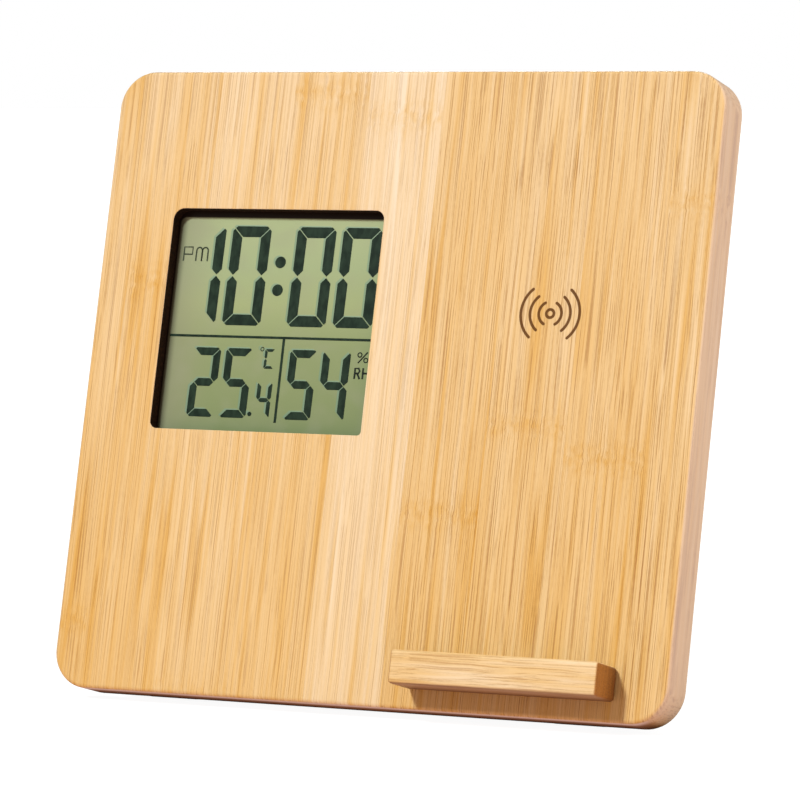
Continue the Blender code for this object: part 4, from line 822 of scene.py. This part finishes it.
# Painted light: the foil is lighter towards its top.
FOIL_UPWARDS = [(0.0, (0.161, 0.191, 0.081)), (0.40, (0.200, 0.230, 0.103)),
                (0.58, (0.261, 0.290, 0.134)), (0.75, (0.268, 0.306, 0.157)),
                (1.0, (0.306, 0.342, 0.176))]
FOIL_LEFT = (0.225, 0.210, 0.132)
FOIL_LEFT_WIDE = 14.0       # this far in from the window's left wall
FOIL_CLOUD = (0.250, 0.245, 0.160)
FOIL_SHADE = (0.130, 0.215, 0.160)      # in the segments' images
lcd = Finish("display_glass", Roughness=0.3, Specular_IOR_Level=0.15)
x, y, z = lcd.place()
height = (z - window_z[0]) / (window_z[1] - window_z[0])
foil = lcd.node("ValToRGB", {"stops": FOIL_UPWARDS}, {0: height})
foil = lcd.mix(x.rise(window_x[0] + FOIL_LEFT_WIDE, window_x[0]) * 0.55, foil, FOIL_LEFT)
cloud = lcd.noise(x / 7.0, 0.0, z / 6.0, detail=1.0)
foil = lcd.mix(cloud.rise(0.42, 0.75) * 0.25, foil, FOIL_CLOUD)
fade = lcd.node("Attribute", {"attribute_name": "fade"}, {}, output="Fac")
foil = lcd.mix(fade * 0.6, foil, FOIL_SHADE)
border_x = panel_x[0] + BORDER_FROM_LEFT
border_z = panel_z[1] - BORDER_FROM_TOP
foil = lcd.mix(x.rise(border_x + SOFT_BORDER, border_x) * 0.8, foil, SOFT_BLACK)
past_left = (border_x + BORDER_CORNER - x).most(0.0)
past_top = (z - (border_z - BORDER_CORNER)).most(0.0)
past_corner = (past_left * past_left + past_top * past_top) ** 0.5
border = past_corner.rise(BORDER_CORNER - 0.25, BORDER_CORNER + 0.15)
lcd.set("Base Color", lcd.mix(border, foil, BORDER_BLACK))
lcd.cover(glass, images)


def liquid_crystal(name, pale, dark):
    """Segments let a little of the foil through, unevenly."""
    finish = Finish(name, Roughness=0.3, Specular_IOR_Level=0.15)
    x, y, z = finish.place()
    blotch = finish.noise(x / 1.6, 0.0, z / 3.0)
    finish.set("Base Color", finish.mix(blotch.rise(0.3, 0.7), dark, pale))
    return finish


liquid_crystal("crystal_bold", (0.012, 0.025, 0.013), (0.003, 0.010, 0.004)).cover(segments)
liquid_crystal("crystal_thin", (0.038, 0.047, 0.027), (0.020, 0.028, 0.014)).cover(letters)
liquid_crystal("crystal_units", (0.014, 0.020, 0.010), (0.006, 0.010, 0.005)).cover(unit_marks)


# Display's inner parts
# A frosted acrylic plate lights the glass from behind. Striped silicone strips carry its
# signals to the circuit board, and a black moulded tray holds it all, with melted pegs.

SAME_CORNER = 2e-6          # metres between corners that are merged
FLAT = 0.3                  # degrees between triangles that make one flat face


def like(node, finish, sharp=32.0):
    """A piece in a node's own shape: its corners merged, its flat faces made whole and its
    round ones smooth. It stands for the node."""
    mesh = nodes[node].data.copy()
    mesh.name = node + "_piece"
    shape = bmesh.new()
    shape.from_mesh(mesh)
    bmesh.ops.remove_doubles(shape, verts=shape.verts, dist=SAME_CORNER)
    bmesh.ops.dissolve_limit(shape, angle_limit=math.radians(FLAT), verts=shape.verts,
                             edges=shape.edges)
    shape.to_mesh(mesh)
    shape.free()
    mesh.shade_smooth()
    mesh.set_sharp_from_angle(angle=math.radians(sharp))
    piece = bpy.data.objects.new(node + "_piece", mesh)
    bpy.context.scene.collection.objects.link(piece)
    shading = piece.modifiers.new("even_shading", "WEIGHTED_NORMAL")
    shading.keep_sharp = True
    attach(piece, nodes[node]["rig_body"])
    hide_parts(node)
    finish.cover(piece)
    return piece


def moulding(name, colour, roughness, grain=0.35, depth=0.03):
    """Moulded plastic or rubber: a fine spark-eroded grain, and a faint uneven sheen."""
    finish = Finish(name)
    x, y, z = finish.place()
    sheen = finish.noise(x / 9.0, y / 9.0, z / 9.0)
    grit = finish.noise(x / grain, y / grain, z / grain, detail=3.0)
    darker = tuple(0.82 * part for part in colour)
    finish.set("Base Color", finish.mix(sheen.rise(0.35, 0.65) * 0.6 + grit * 0.4, darker, colour))
    finish.set("Roughness", roughness + (sheen - 0.5) * 0.12)
    finish.relief(grit, depth)
    return finish


acrylic = moulding("diffuser_acrylic", (0.80, 0.84, 0.82), 0.35, grain=0.2)
black_abs = moulding("black_abs", (0.026, 0.026, 0.028), 0.50)
like("backlight_diffuser", acrylic)
like("display_frame", black_abs)

STRIPE = 0.1                # conducting and insulating layers of the silicone
CONDUCTING = (0.04, 0.035, 0.04)
INSULATING = (0.42, 0.22, 0.24)
silicone = Finish("silicone", Roughness=0.6)
x, y, z = silicone.place()
layer = x.maths("PINGPONG", STRIPE) / STRIPE
silicone.set("Base Color", silicone.mix(layer.rise(0.4, 0.6), INSULATING, CONDUCTING))
for node in ("contact_strip_upper", "contact_strip_lower"):
    like(node, silicone)


# Circuit boards
# Glass laminate under green solder mask, with copper tracks that shine through it. Chips,
# the buzzer, switches and other parts are soldered on the side towards the rear cover.

CELL = 2.6                  # about the distance between neighbouring pads
MASK_GREEN = (0.012, 0.115, 0.045)
TRACK_GREEN = (0.040, 0.230, 0.085)
PAD_TIN = (0.62, 0.58, 0.50)
BARE_LAMINATE = (0.34, 0.30, 0.16)
mask = Finish("circuit_board", Roughness=0.32)
x, y, z = mask.place()
cells = mask.node("CombineXYZ", {}, {0: x / CELL, 1: 0.0, 2: z / CELL})
layout = {"Vector": cells, "Scale": 1.0, "Randomness": 0.9}
track = mask.node("TexVoronoi", {"feature": "DISTANCE_TO_EDGE"}, layout).rise(0.10, 0.06)
pad = mask.node("TexVoronoi", {"feature": "F1"}, layout).rise(0.16, 0.13)
face = mask.mix(pad, mask.mix(track, MASK_GREEN, TRACK_GREEN), PAD_TIN)
mask.set("Base Color", mask.mix(abs(mask.facing(1)).rise(0.3, 0.6), BARE_LAMINATE, face))
mask.set("Metallic", pad * 0.9)
mask.relief(track + pad, 0.04)
like("main_board", mask)
like("power_board", mask)

epoxy = moulding("chip_epoxy", (0.030, 0.030, 0.032), 0.45, grain=0.15)
pale_abs = moulding("pale_abs", (0.74, 0.75, 0.72), 0.45)
grey_abs = moulding("grey_abs", (0.29, 0.30, 0.32), 0.48)
for node, finish in (("clock_chip", epoxy), ("charger_chip", epoxy), ("buzzer", epoxy),
                     ("climate_sensor", pale_abs), ("power_inductor", epoxy)):
    like(node, finish)


def metal(name, colour, roughness, scratch=0.25):
    """Plated metal: fine scratches that are drawn out upwards, and duller spots."""
    finish = Finish(name, Metallic=1.0)
    x, y, z = finish.place()
    scratches = finish.noise(x / scratch, y / scratch, z / (10 * scratch), detail=3.0)
    spots = finish.noise(x / 1.5, y / 1.5, z / 1.5)
    duller = tuple(0.78 * part for part in colour)
    finish.set("Base Color", finish.mix(spots.rise(0.4, 0.7), colour, duller))
    finish.set("Roughness", roughness + (scratches - 0.5) * 0.25)
    finish.relief(scratches, 0.01)
    return finish


tinned = metal("tinned_can", (0.55, 0.56, 0.58), 0.30)
steel = metal("steel", (0.62, 0.63, 0.65), 0.28)
nickel = metal("nickel", (0.70, 0.69, 0.65), 0.25)
like("clock_crystal", tinned)
like("filter_capacitor", tinned)

LEG_PITCH = 1.27
LEG_WIDTH = 0.42
LEG_REACH = 0.86
LEG_GAP = 0.04              # between a leg and the chip's side
LEG_FOOT, LEG_TOP = 0.02, 0.2           # above the circuit board


def chip_legs(node, board_face):
    """Rows of tinned legs on two sides of a chip, flat on the circuit board."""
    x, y, z = spans(node)
    count = int((z[1] - z[0]) / LEG_PITCH)
    rows = middle(z) + (np.arange(count) - (count - 1) / 2) * LEG_PITCH
    legs = [rectangle((side, side + LEG_REACH), (row - LEG_WIDTH / 2, row + LEG_WIDTH / 2))
            for row in rows for side in (x[0] - LEG_GAP - LEG_REACH, x[1] + LEG_GAP)]
    tinned.cover(raised(node + "_legs", legs, board_face + LEG_FOOT, board_face + LEG_TOP,
                        "body"))


chip_legs("clock_chip", spans("main_board")[1][1])
chip_legs("charger_chip", spans("power_board")[1][1])


# Push buttons
# Four grey caps on the back press the switches on the board. Each cap has a raised sign:
# a ring, a square, and two triangles for up and down.

SIGN = 1.15
SIGN_LINE = 0.35
SIGN_HEIGHT = 0.2
TRIANGLE = 1.2 * SIGN
TRIANGLE_SHIFT = 0.2        # back from its point, so that it looks centred
SUNK = 0.05                 # a sign's foot lies this deep in the face that carries it


def triangle(way):
    """Three corners at equal turns round the middle. The first is up for 1, down for -1."""
    return arc((0, -TRIANGLE_SHIFT * way), TRIANGLE, 90 * way, 90 * way + 360, 4)[:-1]


signs = {"mode": ring((0, 0), SIGN, SIGN_LINE), "set": [rectangle((-SIGN, SIGN), (-SIGN, SIGN))],
         "up": [triangle(1)], "down": [triangle(-1)]}
for name, outlines in signs.items():
    like(name + "_button", grey_abs)
    like(name + "_plunger", black_abs)
    like(name + "_switch", tinned)
    cap_x, cap_y, cap_z = spans(name + "_button")
    centre = np.array([middle(cap_x), middle(cap_z)])
    sign = raised(name + "_sign", [outline + centre for outline in outlines], cap_y[1] - SUNK,
                  cap_y[1] + SIGN_HEIGHT, name + "_button", soft=0.08)
    pale_abs.cover(sign)


# Charging coil
# Enamelled copper wire wound in a flat spiral, glued to a black ferrite sheet. A moulded
# dish presses both against the wood.

TURNS = 14
COIL_HOLE = 9.0             # radius
coil_outer = (coil_x[1] - coil_x[0]) / 2
wire_wide = (coil_outer - COIL_HOLE) / (TURNS + 1)
wire_high = coil_y[1] - coil_y[0]


def spiral(turns, steps_a_turn=56, sides=8):
    """Oval wire whose distance from the middle grows evenly, by its width in each turn.
    It is 0.98 of that width across, so that the turns don't touch."""
    turn = np.linspace(0, turns * 2 * math.pi, turns * steps_a_turn + 1)[:, None]
    side = np.linspace(0, 2 * math.pi, sides, endpoint=False)[None, :]
    radius = COIL_HOLE + wire_wide * (0.5 + turn / (2 * math.pi) + 0.49 * np.cos(side))
    height = wire_high / 2 * np.sin(side) + 0 * turn
    return np.stack([middle(coil_x) + radius * np.cos(turn), middle(coil_y) + height,
                     middle(coil_z) + radius * np.sin(turn)], -1)


winding = loft("coil_winding", spiral(TURNS), "body")
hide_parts("charging_coil")
copper = metal("copper", (0.72, 0.36, 0.18), 0.30)
copper.cover(winding)
ferrite = moulding("ferrite", (0.060, 0.060, 0.064), 0.62, grain=0.5)
like("ferrite_sheet", ferrite)
like("coil_carrier", black_abs)


# Power socket
# A drawn steel shell round a tongue with contacts. It looks out through the left wall of
# the rear cover, where the lead for the charger plugs in.

like("usb_inlet", tinned)


# Rear cover and screws
# A black moulded tray that closes the back, held to the board by five screws. Two more
# hold the ledge, and two the power board.

like("rear_cover", black_abs)
for node in [name for name in nodes if "screw" in name]:
    like(node, steel)


# Cells and their door
# Two wrapped cells for the clock's memory stand in a bay between nickel contacts and
# springs. The door slides out to the right, the way that its raised arrow points.

WRAP_BAND = 0.3             # share of a cell's length that its silver band takes
WRAP_RING = 0.012           # half the share that the pale ring under the band takes
WRAP_BLUE = (0.045, 0.150, 0.300)
WRAP_SILVER = (0.62, 0.63, 0.64)
RING_WHITE = (0.80, 0.80, 0.78)
BARE_STEEL = (0.60, 0.59, 0.56)
cell_z = spans("battery_1")[2]
wrap = Finish("cell_wrap", Roughness=0.3, Coat_Weight=0.4)
x, y, z = wrap.place()
height = (z - cell_z[0]) / (cell_z[1] - cell_z[0])
wrap_colour = wrap.mix(height.over(1 - WRAP_BAND), WRAP_BLUE, WRAP_SILVER)
thin_ring = 1.0 - abs(height - (1 - WRAP_BAND)).over(WRAP_RING)
wrap_colour = wrap.mix(thin_ring, wrap_colour, RING_WHITE)
bare_end = abs(wrap.facing(2)).rise(0.7, 0.9)
wrap.set("Base Color", wrap.mix(bare_end, wrap_colour, BARE_STEEL))
wrap.set("Metallic", bare_end * 0.9)
wrap.relief(wrap.noise(x / 1.5, y / 1.5, z / 6.0), 0.05)
for node in ("battery_1", "battery_2"):
    like(node, wrap)
for node in ("bridge_plate", "end_plate_1", "end_plate_2"):
    like(node, nickel)
for node in ("contact_spring_1", "contact_spring_2"):
    like(node, steel, sharp=60.0)
like("battery_door", black_abs)

ARROW = 2.2
ARROW_HEIGHT = 0.3
ARROW_FROM_TOP = 10.0
GRIP_RIBS = 0.5             # they stand this far out of the door's face
door_x, door_y, door_z = spans("battery_door")
door_face = door_y[1] - GRIP_RIBS
arrow_at = (middle(door_x), door_z[1] - ARROW_FROM_TOP)
arrow = np.array([(0, ARROW), (1.5 * ARROW, 0), (0, -ARROW)]) + arrow_at
black_abs.cover(raised("door_arrow", [arrow], door_face - SUNK, door_face + ARROW_HEIGHT,
                       "battery_door", soft=0.1))


# Stand and feet
# A moulded leg folds out on a steel pin between the cover's ears. Rubber pads under the
# leg and the cover keep the station from sliding.

rubber = moulding("rubber", (0.036, 0.036, 0.038), 0.85, grain=0.6, depth=0.04)
like("stand_leg", black_abs)
like("stand_pin", steel)
for node in ("stand_pad", "foot_left", "foot_right"):
    like(node, rubber)


# Wires
# Insulated leads join the coil, the cells and the two circuit boards. They stay inside
# the cover.

for node, name, colour in (("battery_lead_plus", "lead_red", (0.50, 0.035, 0.025)),
                           ("battery_lead_minus", "lead_black", (0.030, 0.030, 0.030)),
                           ("coil_lead_1", "lead_white", (0.74, 0.74, 0.70)),
                           ("coil_lead_2", "lead_cream", (0.70, 0.68, 0.60)),
                           ("board_link", "lead_grey", (0.66, 0.66, 0.64))):
    like(node, moulding(name, colour, 0.5, grain=0.8, depth=0.02), sharp=60.0)
